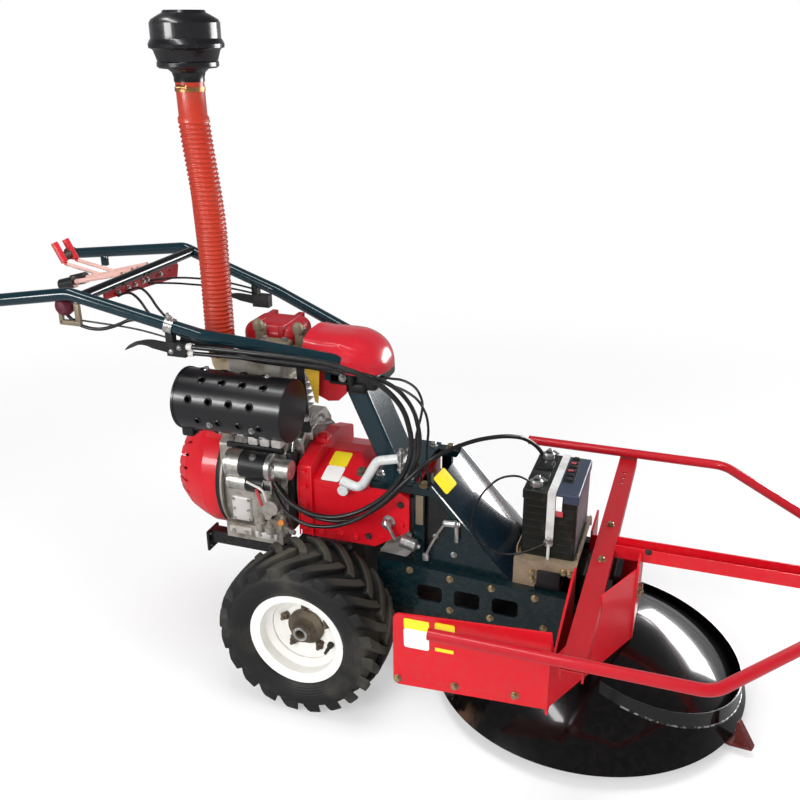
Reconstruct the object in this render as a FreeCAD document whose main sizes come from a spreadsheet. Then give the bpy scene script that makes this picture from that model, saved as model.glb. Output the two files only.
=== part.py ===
"""Self-propelled disc mower: a two-wheel walking tractor whose diesel engine drives a domed disc cutter.

Millimetres. +X points forwards, to the cutter, +Y to the left side and +Z up. The origin lies on the
ground, half way along and across the machine. Every distance named ..._ahead is measured forwards from
the wheel axle.
"""
import FreeCAD, Part
import math
import os
import re
import Sketcher
from FreeCAD import Placement, Rotation, Vector

os.makedirs("parts", exist_ok=True)
doc = FreeCAD.newDocument("DiscMower")
sizes = doc.addObject("Spreadsheet::Sheet", "Sizes")

# ---------------------------------------------------------------- driving dimensions
SIZES = {
    # where the axle lies in the row's frame
    "axle_x": -157.5,
    # wheels, 16 x 6.50-8
    "tyre_radius": 203, "tyre_wide": 165, "tyre_wall": 13, "tyre_shoulder": 30, "wheel_track": 560,
    "rim_seat": 101, "rim_flange": 118, "rim_wide": 136, "rim_well": 86, "rim_wall": 4,
    "web_place": 2, "web_hole": 28.5, "hub_radius": 45, "hub_boss": 24, "hub_end": 42, "hub_bore": 11,
    "axle_radius": 16, "axle_fit": 0.1, "axle_inside": 66,
    # axle housing and transmission
    "housing_half": 165, "axle_tube": 34, "case_long": 124, "case_wide": 140, "case_low": 150,
    "gearbox_half": 130, "gearbox_low": 353, "gearbox_round": 12, "gearbox_ledge": 510, "gearbox_ridge": 546,
    "lip_long": 34, "bell_radius": 132, "bell_ahead": -105, "bell_long": 30, "crank_z": 470,
    # engine
    "block_back": -285, "block_front": -105, "block_half": 140, "block_low": 337, "block_top": 600,
    "cylinder_wide": 170, "cylinder_long": 150, "cylinder_top": 742, "fin_count": 7, "fin_thick": 3,
    "head_top": 806, "shroud_radius": 152, "shroud_depth": 146, "shroud_back": 104, "shroud_wall": 4,
    "louvre_count": 24,
    "starter_radius": 33, "starter_long": 150, "starter_y": -173.2, "starter_z": 548, "solenoid_radius": 22,
    "muffler_radius": 72.5, "muffler_long": 276, "muffler_back": -326, "muffler_y": -200, "muffler_z": 715,
    "muffler_hole": 6.5, "muffler_pitch": 52, "shield_wall": 2,
    "tank_long": 146, "tank_wide": 124, "tank_high": 74, "tank_back": -275, "tank_low": 774, "tank_round": 30,
    # intake mast
    "hose_radius": 31.5, "hose_low": 800, "hose_top": 1412, "mast_ahead": -310, "mast_lean": 27,
    "mast_y": -50,
    "cleaner_radius": 90, "cleaner_band": 77, "cleaner_body": 73, "cleaner_top": 1560, "elbow_radius": 27,
    # engine rails under the engine
    "rail_back": -334, "rail_front": 60, "rail_y": 132, "rail_wide": 28, "rail_high": 34, "rail_low": 291,
    "hitch_plate": 54, "hitch_wall": 6, "hitch_spacing": 34, "hitch_hole": 5,
    # handlebars and their column
    "grip_radius": 15, "grip_back": -1017.3, "grip_z": 897, "grip_y": 304, "bend_ahead": -580, "bend_z": 957,
    "bend_y": 250, "bar_front": 20, "bar_front_y": 82, "bar_front_z": 803, "bar_mid": -275, "bar_mid_y": 200,
    "bar_mid_z": 873, "bar_bend": 70, "column_long": 50, "column_wide": 110, "column_foot": 143,
    "column_low": 500, "column_high": 290, "column_lean": 24, "foot_low": 527, "hood_half": 90,
    "hood_wall": 4, "hood_back": -78, "hood_front": 118, "hood_crown": 856, "gate_long": 320, "gate_high": 40,
    # frame between the gearbox and the cutter
    "side_y": 150, "side_wall": 6, "side_back": 130, "side_front": 604, "side_low": 205, "side_top_back": 336,
    "side_top_front": 313, "inner_y": 126, "slope_top": 258, "slope_top_z": 536, "slope_foot": 456,
    "plate_back": 252, "bar_back": 104, "window_long": 62, "window_high": 44, "window_pitch": 92,
    "cover_rise": 34, "cover_wall": 2,
    # battery
    "battery_back": 468, "battery_long": 124, "battery_wide": 200, "battery_low": 386, "battery_high": 168,
    "tray_wall": 3, "strap_wide": 18, "strap_wall": 2,
    # red front frame
    "sheet": 5, "wing_y": 460, "wing_back": 280, "wing_front": 605, "wing_low": 240, "wing_top": 415,
    "wing_top_front": 440, "nose_ahead": 735, "nose_y": 80, "nose_low": 192, "nose_top": 380,
    "panel_top": 404, "bracket_y": 96, "bracket_top": 350,
    "beam_back": 628, "beam_wide": 47, "beam_high": 26, "beam_top": 390, "beam_end": 4, "beam_wall": 4,
    "bar_radius": 12.5, "guard_stand": 30, "guard_back": 365, "guard_bend": 907, "tip_ahead": 1335,
    "guard_turn": 60, "channel_wide": 45, "channel_high": 32, "channel_low": 369, "channel_wall": 4,
    # cutter
    "disc_ahead": 631, "dome_radius": 510, "dome_rim": 378, "dome_rim_z": 36, "dome_wall": 3, "dome_hole": 48,
    "collar_ahead": 766, "collar_z": 147, "collar_radius": 238, "collar_tilt": 14.7, "collar_deep": 130,
    "collar_flare": 0.3, "disc_radius": 320, "disc_low": 14, "disc_plate": 6, "blade_count": 2,
    "blade_wide": 46, "blade_plate": 8, "tooth_reach": 426, "tooth_high": 58, "tooth_wall": 16,
    "disc_gap": 5, "post_radius": 12, "post_fit": 0.2, "quill_radius": 19, "quill_fit": 0.1, "hub_tube": 32,
    "skid_radius": 200, "skid_flat": 140, "skid_wall": 4, "skid_lift": 4,
    "bevel_long": 128, "bevel_wide": 120, "bevel_low": 206, "bevel_top": 330, "neck_radius": 46,
    "neck_low": 160, "drive_tube": 26, "drive_top": 455, "drive_low": 238,
}
for row, (alias, number) in enumerate(SIZES.items(), start=1):
    sizes.set(f"A{row}", alias)
    sizes.set(f"B{row}", str(number))
    sizes.setAlias(f"B{row}", alias)
doc.recompute()

ALONG_X = Rotation(Vector(0, 1, 0), 90)
ALONG_Y = Rotation(Vector(1, 0, 0), -90)
AGAINST_Y = Rotation(Vector(1, 0, 0), 90)
UPRIGHT = Rotation()
SIDES = (("left", 1), ("right", -1))
nodes = {}


# ---------------------------------------------------------------- ways of making a piece
def value(text):
    """The number that an expression in the sheet's names gives."""
    return float(sizes.evalExpression(text))


def bound(text):
    """The same expression as another object of the document writes it."""
    return re.sub(r"[a-z][a-z_]*", lambda word: "Sizes." + word[0] if word[0] in SIZES else word[0], text)


def ahead(text):
    """A distance ahead of the axle, as a place in the row's frame."""
    return f"axle_x + ({text})"


def place(item, x="0", y="0", z="0", turn=UPRIGHT):
    item.Placement = Placement(Vector(), turn)
    for name, text in (("x", x), ("y", y), ("z", z)):
        item.setExpression(f"Placement.Base.{name}", bound(text))
    return item


def primitive(kind, name, x, y, z, turn=UPRIGHT, **texts):
    """A Part primitive with its sizes bound to the sheet."""
    item = doc.addObject(kind, name)
    for size, text in texts.items():
        item.setExpression(size, bound(text))
    return place(item, x, y, z, turn)


def box(name, x, y, z, length, width, height, turn=UPRIGHT):
    return primitive("Part::Box", name, x, y, z, turn, Length=length, Width=width, Height=height)


def cylinder(name, x, y, z, radius, height, turn=UPRIGHT):
    return primitive("Part::Cylinder", name, x, y, z, turn, Radius=radius, Height=height)


def fuse(name, *items):
    item = doc.addObject("Part::MultiFuse", name)
    item.Shapes = list(items)
    item.Refine = True
    return item


def together(name, *items):
    """Several solids that do not touch, in one sub-part."""
    item = doc.addObject("Part::Compound", name)
    item.Links = list(items)
    return item


def cut(name, base, *tools):
    item = doc.addObject("Part::Cut", name)
    item.Base = base
    item.Tool = tools[0] if len(tools) == 1 else together(name + "_tools", *tools)
    item.Refine = True
    return item


def common(name, base, tool):
    item = doc.addObject("Part::Common", name)
    item.Base = base
    item.Tool = tool
    return item


def rounded(name, base, text, chosen):
    """Part::Fillet of the edges of base that chosen(edge) picks."""
    doc.recompute()
    item = doc.addObject("Part::Fillet", name)
    item.Base = base
    radius = value(text)
    item.Edges = [(n, radius, radius) for n, edge in enumerate(base.Shape.Edges, start=1) if chosen(edge)]
    return item


def runs_along(direction):
    """Picks straight edges along a direction."""
    def chosen(edge):
        first, last = edge.firstVertex().Point, edge.lastVertex().Point
        run = last - first
        return run.Length > 1 and abs(run.normalize().dot(direction)) > 0.999
    return chosen


def outline(body, corners, role="XZ_Plane"):
    """A closed, fully constrained sketch. A corner is (across, up) or (across, up, bend): bend is the
    radius of the arc that leaves the corner, positive when it turns left."""
    sketch = body.newObject("Sketcher::SketchObject", body.Name + "_outline")
    sketch.AttachmentSupport = [(next(f for f in body.Origin.OriginFeatures if f.Role == role), "")]
    sketch.MapMode = "FlatFace"
    points = [Vector(value(corner[0]), value(corner[1]), 0) for corner in corners]
    starts = []
    for n, corner in enumerate(corners):
        first, last = points[n], points[(n + 1) % len(points)]
        if len(corner) < 3:
            sketch.addGeometry(Part.LineSegment(first, last), False)
            starts.append((1, 2))
            continue
        bend = value(corner[2])
        half = (last - first) * 0.5
        side = Vector(-half.y, half.x, 0).normalize() * math.copysign(1, bend)
        rise = abs(bend) - math.sqrt(bend * bend - half.Length ** 2)
        sketch.addGeometry(Part.Arc(first, first + half - side * rise, last), False)
        starts.append((1, 2) if bend > 0 else (2, 1))
    for n, corner in enumerate(corners):
        after = (n + 1) % len(corners)
        sketch.addConstraint(Sketcher.Constraint("Coincident", n, starts[n][1], after, starts[after][0]))
        for kind, number, text in (("DistanceX", points[n].x, corner[0]),
                                   ("DistanceY", points[n].y, corner[1])):
            index = sketch.addConstraint(Sketcher.Constraint(kind, -1, 1, n, starts[n][0], number))
            sketch.setExpression(f"Constraints[{index}]", bound(text))
        if len(corner) == 3:
            index = sketch.addConstraint(Sketcher.Constraint("Radius", n, abs(value(corner[2]))))
            sketch.setExpression(f"Constraints[{index}]", bound(f"abs({corner[2]})"))
    return sketch


def mirrored(corners):
    """The same outline points on the other side of the wheel's mid-plane, in the opposite order."""
    return [(radius, f"-({across})") for radius, across in reversed(corners)]


def turned(name, *outlines, x="0", y="0", z="0", turn=UPRIGHT):
    """A PartDesign body turned about its own Z axis from outlines in (radius, height)."""
    body = doc.addObject("PartDesign::Body", name)
    for corners in outlines:
        feature = body.newObject("PartDesign::Revolution", name + "_turn")
        feature.Profile = outline(body, corners)
        feature.ReferenceAxis = (feature.Profile[0], ["V_Axis"])
        feature.Angle = 360
        body.Tip = feature
    return place(body, x, y, z, turn)


def padded(name, corners, thick, x="0", y="0", z="0", role="XZ_Plane", turn=UPRIGHT, middle=False):
    """A PartDesign body padded from one outline; an XZ outline grows towards -Y."""
    body = doc.addObject("PartDesign::Body", name)
    feature = body.newObject("PartDesign::Pad", name + "_pad")
    feature.Profile = outline(body, corners, role)
    feature.setExpression("Length", bound(thick))
    feature.Midplane = middle
    body.Tip = feature
    return place(body, x, y, z, turn)


def softened(body, text, chosen):
    """PartDesign::Fillet on the edges of the body's tip that chosen(edge) picks."""
    doc.recompute()
    base = body.Tip
    names = [f"Edge{n}" for n, edge in enumerate(base.Shape.Edges, start=1) if chosen(edge)]
    feature = body.newObject("PartDesign::Fillet", body.Name + "_fillet")
    feature.Base = (base, names)
    feature.setExpression("Radius", bound(text))
    body.Tip = feature
    return body


def route(points, radii):
    """A wire of straight runs joined by tangent arcs, one radius for each inner point."""
    edges = []
    start = points[0]
    for before, corner, after, radius in zip(points, points[1:], points[2:], radii):
        back, onward = (before - corner).normalize(), (after - corner).normalize()
        half = math.acos(max(-1, min(1, back.dot(onward)))) / 2
        reach = radius / math.tan(half)
        middle = corner + (back + onward).normalize() * (radius / math.sin(half) - radius)
        edges.append(Part.LineSegment(start, corner + back * reach).toShape())
        edges.append(Part.Arc(corner + back * reach, middle, corner + onward * reach).toShape())
        start = corner + onward * reach
    edges.append(Part.LineSegment(start, points[-1]).toShape())
    return Part.Wire(edges)


def tube(name, corners, radius, bends):
    """A round bar or tube bent along its route; bends is one radius for every corner, as text."""
    points = [Vector(*(value(text) for text in corner)) for corner in corners]
    wire = route(points, [value(bends)] * (len(points) - 2))
    item = doc.addObject("Part::Feature", name)
    item.Shape = swept(wire, points, value(radius))
    return item


def swept(wire, points, radius):
    section = Part.Wire([Part.Circle(points[0], points[1] - points[0], radius).toShape()])
    return wire.makePipeShell([section], True, True)


def cord(name, points, radius):
    """A cable through hand-set points, each arc as large as its two runs allow."""
    radii = []
    for before, corner, after in zip(points, points[1:], points[2:]):
        back, onward = before - corner, after - corner
        half_turn = (math.pi - back.getAngle(onward)) / 2
        radii.append(0.45 * min(back.Length, onward.Length) / math.tan(half_turn))
    print(name, "bend radii", [round(number) for number in radii])
    item = doc.addObject("Part::Feature", name)
    item.Shape = swept(route(points, radii), points, radius)
    return item


def node(item):
    nodes[item.Name] = item
    return item


# ---------------------------------------------------------------- wheels
for side, sign in SIDES:
    outboard = ALONG_Y if sign > 0 else AGAINST_Y
    wheel = dict(x="axle_x", y=f"{sign} * wheel_track / 2", z="tyre_radius", turn=outboard)

    # The tyre is an open carcass: tread band, bulging side walls and two beads on the rim's seats.
    tyre_half = "tyre_wide / 2"
    outside = [
        ("rim_seat + 0.3", "rim_wide / 2 - 24"), ("rim_seat + 0.3", "rim_wide / 2 - 9"),
        ("rim_flange + 2", "rim_wide / 2 - 2"), ("rim_flange + 12", f"{tyre_half} - 5"),
        ("(rim_flange + tyre_radius) / 2", tyre_half), ("tyre_radius - 20", f"{tyre_half} - 4"),
        ("tyre_radius - 5", f"{tyre_half} - 12"), ("tyre_radius", "tyre_wide / 2 - tyre_shoulder"),
    ]
    cavity = [
        ("rim_flange + 16", f"{tyre_half} - 5 - tyre_wall"),
        ("tyre_radius - tyre_wall - 12", f"{tyre_half} - 4 - tyre_wall"),
        ("tyre_radius - tyre_wall - 2", f"{tyre_half} - tyre_shoulder - 4"),
    ]
    node(turned(f"tyre_{side}", outside + mirrored(outside) + mirrored(cavity[::-1]) + cavity[::-1], **wheel))

    # The rim is a drop-centre barrel with a dished web that is bolted to the hub.
    barrel = [("rim_flange", "-rim_wide / 2"), ("rim_seat", "-rim_wide / 2 + 7"), ("rim_seat", "-34"),
              ("rim_well", "-24"), ("rim_well", "24"), ("rim_seat", "34"), ("rim_seat", "rim_wide / 2 - 7"),
              ("rim_flange", "rim_wide / 2"), ("rim_flange - rim_wall", "rim_wide / 2"),
              ("rim_seat - rim_wall", "rim_wide / 2 - 7"), ("rim_seat - rim_wall", "34"),
              ("rim_well - rim_wall", "24"), ("rim_well - rim_wall", "-24"), ("rim_seat - rim_wall", "-34"),
              ("rim_seat - rim_wall", "-rim_wide / 2 + 7"), ("rim_flange - rim_wall", "-rim_wide / 2")]
    web = [("web_hole", "web_place"), ("hub_radius + 14", "web_place"), ("rim_well - 1", "web_place + 14"),
           ("rim_well - 1", "web_place + 14 + rim_wall"), ("hub_radius + 12", "web_place + rim_wall"),
           ("web_hole", "web_place + rim_wall")]
    node(turned(f"rim_{side}", barrel, web, **wheel))

    # The hub clamps the web from outside; its shaft runs in the axle housing.
    node(turned(f"hub_{side}", [
        ("0", "axle_inside + 34 - wheel_track / 2"), ("axle_radius", "axle_inside + 34 - wheel_track / 2"),
        ("axle_radius", "-22"), ("web_hole - 0.5", "-22"), ("web_hole - 0.5", "web_place + rim_wall"),
        ("hub_radius", "web_place + rim_wall"), ("hub_radius", "web_place + rim_wall + 8"),
        ("hub_boss + 3", "web_place + rim_wall + 11"), ("hub_boss", "hub_end"), ("hub_bore", "hub_end"),
        ("hub_bore", "hub_end - 20"), ("0", "hub_end - 20"),
    ], **wheel))

# ---------------------------------------------------------------- transmission
# The axle housing hangs under the gearbox and holds both wheel shafts in its tubes.
housing = fuse("axle_housing_solid",
               rounded("axle_case", box("axle_case_box", ahead("-case_long / 2"), "-case_wide / 2",
                                        "case_low", "case_long", "case_wide", "gearbox_low - case_low"),
                       "18", runs_along(Vector(0, 0, 1))),
               cylinder("axle_tube_round", "axle_x", "-housing_half", "tyre_radius", "axle_tube",
                        "2 * housing_half", ALONG_Y),
               cylinder("axle_seal_left", "axle_x", "housing_half - 12", "tyre_radius", "axle_tube + 9", "12",
                        ALONG_Y),
               cylinder("axle_seal_right", "axle_x", "-housing_half", "tyre_radius", "axle_tube + 9", "12",
                        ALONG_Y))
bores = [cylinder(f"axle_bore_{side}", "axle_x", f"{sign} * (housing_half - axle_inside - 3)", "tyre_radius",
                  "axle_radius + axle_fit", "axle_inside + 13", ALONG_Y if sign > 0 else AGAINST_Y)
         for side, sign in SIDES]
node(cut("axle_housing", housing, *bores))

# Cast gearbox: a deep case with a gabled top and a lip where the clutch bell is bolted on.
case = padded("gearbox_case", [
    (ahead("-76"), "gearbox_low"), (ahead("117"), "gearbox_low"), (ahead("204"), "409"),
    (ahead("204"), "gearbox_ledge - 12"), (ahead("172"), "gearbox_ledge"), (ahead("-76"), "gearbox_ledge"),
], "2 * gearbox_half", middle=True)
softened(case, "gearbox_round", lambda edge: runs_along(Vector(0, 1, 0))(edge) and edge.Length > 200
         and edge.CenterOfMass.z > 380 and edge.CenterOfMass.x > 0)
gable = padded("gearbox_gable", [
    ("-gearbox_half + 6", "gearbox_ledge - 6"), ("gearbox_half - 6", "gearbox_ledge - 6"),
    ("gearbox_half - 6", "gearbox_ledge + 3"), ("22", "gearbox_ridge"), ("-22", "gearbox_ridge"),
    ("-gearbox_half + 6", "gearbox_ledge + 3"),
], "160", x=ahead("-62"), role="YZ_Plane")
gable_ends = padded("gearbox_gable_ends", [
    (ahead("-61"), "gearbox_ledge - 5"), (ahead("94"), "gearbox_ledge - 5"),
    (ahead("94"), "gearbox_ledge + 4"),
    (ahead("44"), "gearbox_ridge + 1"), (ahead("-61"), "gearbox_ridge + 1"),
], "2 * gearbox_half", middle=True)
lip = padded("gearbox_lip", [
    ("-gearbox_half - 7", "gearbox_low + 12"), ("gearbox_half + 7", "gearbox_low + 12"),
    ("gearbox_half + 7", "gearbox_ledge + 36"), ("60", "gearbox_ledge + 60"), ("-60", "gearbox_ledge + 60"),
    ("-gearbox_half - 7", "gearbox_ledge + 36"),
], "lip_long", x=ahead("-76"), role="YZ_Plane")
softened(lip, "8", runs_along(Vector(1, 0, 0)))
gears = padded("gearbox_inside", [
    (ahead("-77"), "gearbox_low + 28"), (ahead("-60"), "gearbox_low + 16"),
    (ahead("108"), "gearbox_low + 16"),
    (ahead("188"), "418"), (ahead("188"), "gearbox_ledge - 24"), (ahead("162"), "gearbox_ledge - 14"),
    (ahead("-77"), "gearbox_ledge - 14"),
], "2 * gearbox_half - 90", middle=True)
gearbox = cut("gearbox", fuse("gearbox_solid", case, common("gearbox_roof", gable, gable_ends), lip), gears)
node(gearbox)

# Clutch bell between engine and gearbox.
node(turned("clutch_housing", [
    ("0", "0"), ("bell_radius - 22", "0"), ("bell_radius", "bell_long - 10"),
    ("bell_radius", "bell_long - 1"), ("0", "bell_long - 1"),
], x=ahead("bell_ahead"), z="crank_z", turn=ALONG_X))

# ---------------------------------------------------------------- engine
# Crankcase: one heavy block with its side cover, oil filler boss and the two mounting feet.
block = padded("engine_case", [
    ("-block_half + 22", "block_low + 12"), ("block_half - 22", "block_low + 12"), ("block_half", "400"),
    ("block_half", "560"), ("block_half - 34", "block_top"), ("-block_half + 30", "block_top"),
    ("-block_half", "574"), ("-block_half", "400"),
], "block_front - block_back", x=ahead("block_back"), role="YZ_Plane")
softened(block, "10", lambda edge: runs_along(Vector(1, 0, 0))(edge))
feet = [box(f"engine_foot_{side}", ahead("block_back + 12"), f"{sign} * rail_y - 24", "rail_low + rail_high",
            "block_front - block_back - 24", "48", "block_low + 30 - rail_low - rail_high")
        for side, sign in SIDES]
cover = rounded("engine_cover_round",
                box("engine_cover", ahead("-225"), "-block_half - 12", "388", "78", "20", "100"),
                "14", runs_along(Vector(0, 1, 0)))
filler = cylinder("engine_filler", ahead("-132"), "-block_half + 2", "380", "17", "26", AGAINST_Y)
pump = cylinder("engine_pump", ahead("-134"), "-block_half + 20", "440", "20", "62", AGAINST_Y)
node(fuse("engine_block", block, *feet, cover, filler, pump))

# Finned cylinder, head and rocker cover.
barrel = box("cylinder_barrel", ahead("-265"), "-cylinder_wide / 2 + 14", "block_top", "cylinder_long - 28",
             "cylinder_wide - 28", "cylinder_top - block_top")
fins = []
for n in range(int(value("fin_count"))):
    level = f"block_top + 12 + {n} * (cylinder_top - block_top - 15) / fin_count"
    fins.append(box(f"cylinder_fin_{n}", ahead("-279"), "-cylinder_wide / 2", level, "cylinder_long",
                    "cylinder_wide", "fin_thick"))
head = rounded("cylinder_head_round",
               box("cylinder_head_box", ahead("-279"), "-cylinder_wide / 2", "cylinder_top - 3",
                   "cylinder_long", "cylinder_wide * 0.62", "head_top - cylinder_top - 30"),
               "8", runs_along(Vector(0, 0, 1)))
node(fuse("cylinder_head", barrel, *fins, head))

# Fan housing at the flywheel end, with cooling louvres round its back.
shroud = turned("shroud_shell", [
    ("0", "8"), ("shroud_back - 16", "8"), ("shroud_back - 10", "0"), ("shroud_back", "0"),
    ("shroud_back + 24", "30"), ("shroud_radius - 8", "66"), ("shroud_radius", "90"),
    ("shroud_radius", "shroud_depth"), ("shroud_radius - shroud_wall", "shroud_depth"),
    ("shroud_radius - shroud_wall", "92"), ("shroud_radius - 8 - shroud_wall", "68"),
    ("shroud_back + 23 - shroud_wall", "34"), ("shroud_back - 4", "12"), ("0", "12"),
], x=ahead("block_back - shroud_depth"), z="crank_z - 22", turn=ALONG_X)
louvres = []
for n in range(int(value("louvre_count"))):
    spoke = Rotation(Vector(1, 0, 0), n * 360 / value("louvre_count"))
    slot = box(f"shroud_louvre_{n}", ahead("block_back - shroud_depth - 5"), "0", "crank_z - 22", "44", "7",
               "40")
    reach = spoke.multVec(Vector(0, -3.5, value("shroud_back - 4")))
    place(slot, ahead("block_back - shroud_depth - 5"), f"{reach.y}", f"crank_z - 22 + {reach.z}", spoke)
    louvres.append(slot)
duct = cut("shroud_duct_hollow",
           rounded("shroud_duct_round",
                   box("shroud_duct", ahead("block_back - 62"), "-98", "crank_z + 60", "61", "196",
                       "cylinder_top - crank_z - 104"),
                   "16", runs_along(Vector(1, 0, 0))),
           box("shroud_duct_inside", ahead("block_back - 62 + shroud_wall"), "-98 + 2 * shroud_wall",
               "crank_z + 59", "61", "196 - 4 * shroud_wall",
               "cylinder_top - crank_z - 103 - 2 * shroud_wall"))
node(fuse("fan_shroud", cut("shroud_cut", shroud, *louvres), duct))

# Electric starter: motor, drive nose and solenoid on top of each other.
motor = cylinder("starter_body", ahead("-240"), "starter_y", "starter_z", "starter_radius",
                 "starter_long - 30", ALONG_X)
nose = cylinder("starter_nose", ahead("-124"), "starter_y", "starter_z", "starter_radius - 9", "48", ALONG_X)
solenoid = cylinder("starter_solenoid", ahead("-242"), "starter_y + 2", "starter_z - 50", "solenoid_radius",
                    "96", ALONG_X)
yoke = box("starter_yoke", ahead("-146"), "starter_y - 14", "starter_z - 66", "22", "44", "80")
node(fuse("starter_motor", motor, nose, solenoid, yoke))

# Silencer: an inner can in a perforated heat shield, closed by two pressed caps.
shield = cut("muffler_shield",
             cylinder("muffler_outside", ahead("muffler_back"), "muffler_y", "muffler_z", "muffler_radius",
                      "muffler_long", ALONG_X),
             cylinder("muffler_inside", ahead("muffler_back + 6"), "muffler_y", "muffler_z",
                      "muffler_radius - shield_wall", "muffler_long - 12", ALONG_X))
holes = []
for row, degrees in enumerate((-150, -110, -70, -30, 10, 50)):
    for step in range(4):
        angle = math.radians(degrees)
        reach = Vector(0, math.sin(angle), math.cos(angle))
        hole = cylinder(f"muffler_hole_{row}_{step}", "0", "0", "0", "muffler_hole", "muffler_radius")
        place(hole, ahead(f"muffler_back + 46 + {step + 0.4 * (row % 2)} * muffler_pitch"),
              f"muffler_y + {reach.y} * muffler_radius / 2", f"muffler_z + {reach.z} * muffler_radius / 2",
              Rotation(Vector(0, 0, 1), reach))
        holes.append(hole)
can = cylinder("muffler_can", ahead("muffler_back + 6"), "muffler_y", "muffler_z", "muffler_radius - 14",
               "muffler_long - 12", ALONG_X)
can_inside = cylinder("muffler_can_inside", ahead("muffler_back + 9"), "muffler_y", "muffler_z",
                      "muffler_radius - 17", "muffler_long - 18", ALONG_X)
outlet = cylinder("muffler_outlet", ahead("muffler_back - 1"), "muffler_y", "muffler_z + 18", "16", "30",
                  ALONG_X)
flange = box("muffler_port", ahead("-240"), "muffler_y + muffler_radius - 16", "muffler_z - 22", "70",
             "-cylinder_wide / 2 - muffler_y - muffler_radius + 16", "44")
node(cut("muffler", fuse("muffler_solid", cut("muffler_perforated", shield, *holes), can, flange), can_inside,
         outlet))

# Fuel tank on top of the engine, on two flat brackets.
tank = rounded("fuel_tank_round",
               box("fuel_tank_box", ahead("tank_back"), "-12", "tank_low", "tank_long", "tank_wide",
                   "tank_high"),
               "tank_round", lambda edge: True)
brackets = [box(f"fuel_tank_bracket_{n}", ahead(f"tank_back + 30 + {n} * 70"), "-4", "head_top - 33", "22",
                "22", "tank_low + 20 - head_top + 33") for n in range(2)]
node(fuse("fuel_tank", tank, *brackets))

# ---------------------------------------------------------------- intake mast
mast_x = ahead("mast_ahead")
top_x = ahead("mast_ahead - mast_lean")
node(tube("intake_hose", [
    (mast_x, "mast_y", "hose_low"), (mast_x, "mast_y", "hose_low + 170"), (top_x, "mast_y", "hose_top - 150"),
    (top_x, "mast_y", "hose_top"),
], "hose_radius", "700"))
node(tube("intake_elbow", [
    (mast_x, "mast_y", "hose_low"), (mast_x, "mast_y", "cylinder_top - 6"),
    (ahead("-279"), "mast_y", "cylinder_top - 6"),
], "elbow_radius", "elbow_radius + 3"))
node(turned("pre_cleaner", [
    ("0", "0"), ("hose_radius + 4", "0"), ("hose_radius + 4", "12"), ("hose_radius + 14", "24"),
    ("cleaner_body + 2", "26"), ("cleaner_body + 2", "42"), ("cleaner_body - 2", "46"),
    ("cleaner_body", "72"), ("cleaner_radius", "76"), ("cleaner_radius - 8", "88"), ("cleaner_band", "92"),
    ("cleaner_band - 3", "120"),
    ("60", "136", "40"), ("cleaner_band - 32", "cleaner_top - hose_top"), ("0", "cleaner_top - hose_top"),
], x=top_x, y="mast_y", z="hose_top"))

# ---------------------------------------------------------------- engine rails with the rear hitch plates
rails = []
hitch_holes = []
for side, sign in SIDES:
    rails.append(box(f"engine_rail_{side}", ahead("rail_back"), f"{sign} * rail_y - rail_wide / 2",
                     "rail_low", "rail_front - rail_back", "rail_wide", "rail_high"))
    rails.append(box(f"hitch_plate_{side}", ahead("rail_back"), f"{sign} * rail_y - hitch_plate / 2",
                     "rail_low + rail_high - hitch_plate", "hitch_wall", "hitch_plate", "hitch_plate"))
    for across in (-1, 1):
        for up in (-1, 1):
            hitch_holes.append(cylinder(
                f"hitch_hole_{side}_{across + 1}_{up + 1}", ahead("rail_back - 1"),
                f"{sign} * rail_y + {across} * hitch_spacing / 2",
                f"rail_low + rail_high - hitch_plate / 2 + {up} * hitch_spacing / 2",
                "hitch_hole", "hitch_wall + 3", ALONG_X))
cross = box("engine_rail_cross", ahead("-case_long / 2 - 46"), "-rail_y", "rail_low", "40", "2 * rail_y",
            "20")
pads = [box(f"engine_rail_pad_{side}", ahead("-40"), f"{sign} * (rail_y - 6) - rail_wide / 2",
            "rail_low + rail_high", "90", "rail_wide", "gearbox_low - rail_low - rail_high")
        for side, sign in SIDES]
node(cut("engine_rails", fuse("engine_rails_solid", *rails, cross, *pads), *hitch_holes))

# ---------------------------------------------------------------- handlebars
for side, sign in SIDES:
    node(tube(f"handlebar_{side}", [
        (ahead("bar_front"), f"{sign} * bar_front_y", "bar_front_z"),
        (ahead("bar_mid"), f"{sign} * bar_mid_y", "bar_mid_z"),
        (ahead("bend_ahead"), f"{sign} * bend_y", "bend_z"),
        (ahead("grip_back"), f"{sign} * grip_y", "grip_z"),
    ], "grip_radius", "bar_bend"))

# Cross tube between the bends, saddled on the bars.
node(cut("handlebar_crossbar",
         cylinder("crossbar_round", ahead("bend_ahead + 30"), "-bend_y + 5", "bend_z - 6", "grip_radius - 2",
                  "2 * (bend_y - 5)", ALONG_Y),
         nodes["handlebar_left"], nodes["handlebar_right"]))

# Tapered bracket under the cross tube, on which the control levers pivot.
gate = padded("gate_plate", [
    ("-gate_long / 2", "bend_z - 36"), ("gate_long / 2 - 4", "bend_z - 19 - gate_high"),
    ("gate_long / 2 + 6", "bend_z - 27"), ("gate_long / 2", "bend_z - 19"), ("-gate_long / 2", "bend_z - 19"),
], "6", x=ahead("bend_ahead + 24"), role="YZ_Plane")
gate_top = box("gate_top", ahead("bend_ahead - 26"), "-gate_long / 2", "bend_z - 23", "56", "gate_long", "4")
holes = [cylinder(f"gate_hole_{n}", ahead("bend_ahead + 20"), f"-gate_long / 2 + 40 + {n} * 60",
                  "bend_z - 31", "3", "14", ALONG_X) for n in range(5)]
node(cut("control_gate", fuse("control_gate_solid", gate, gate_top), *holes))

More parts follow.
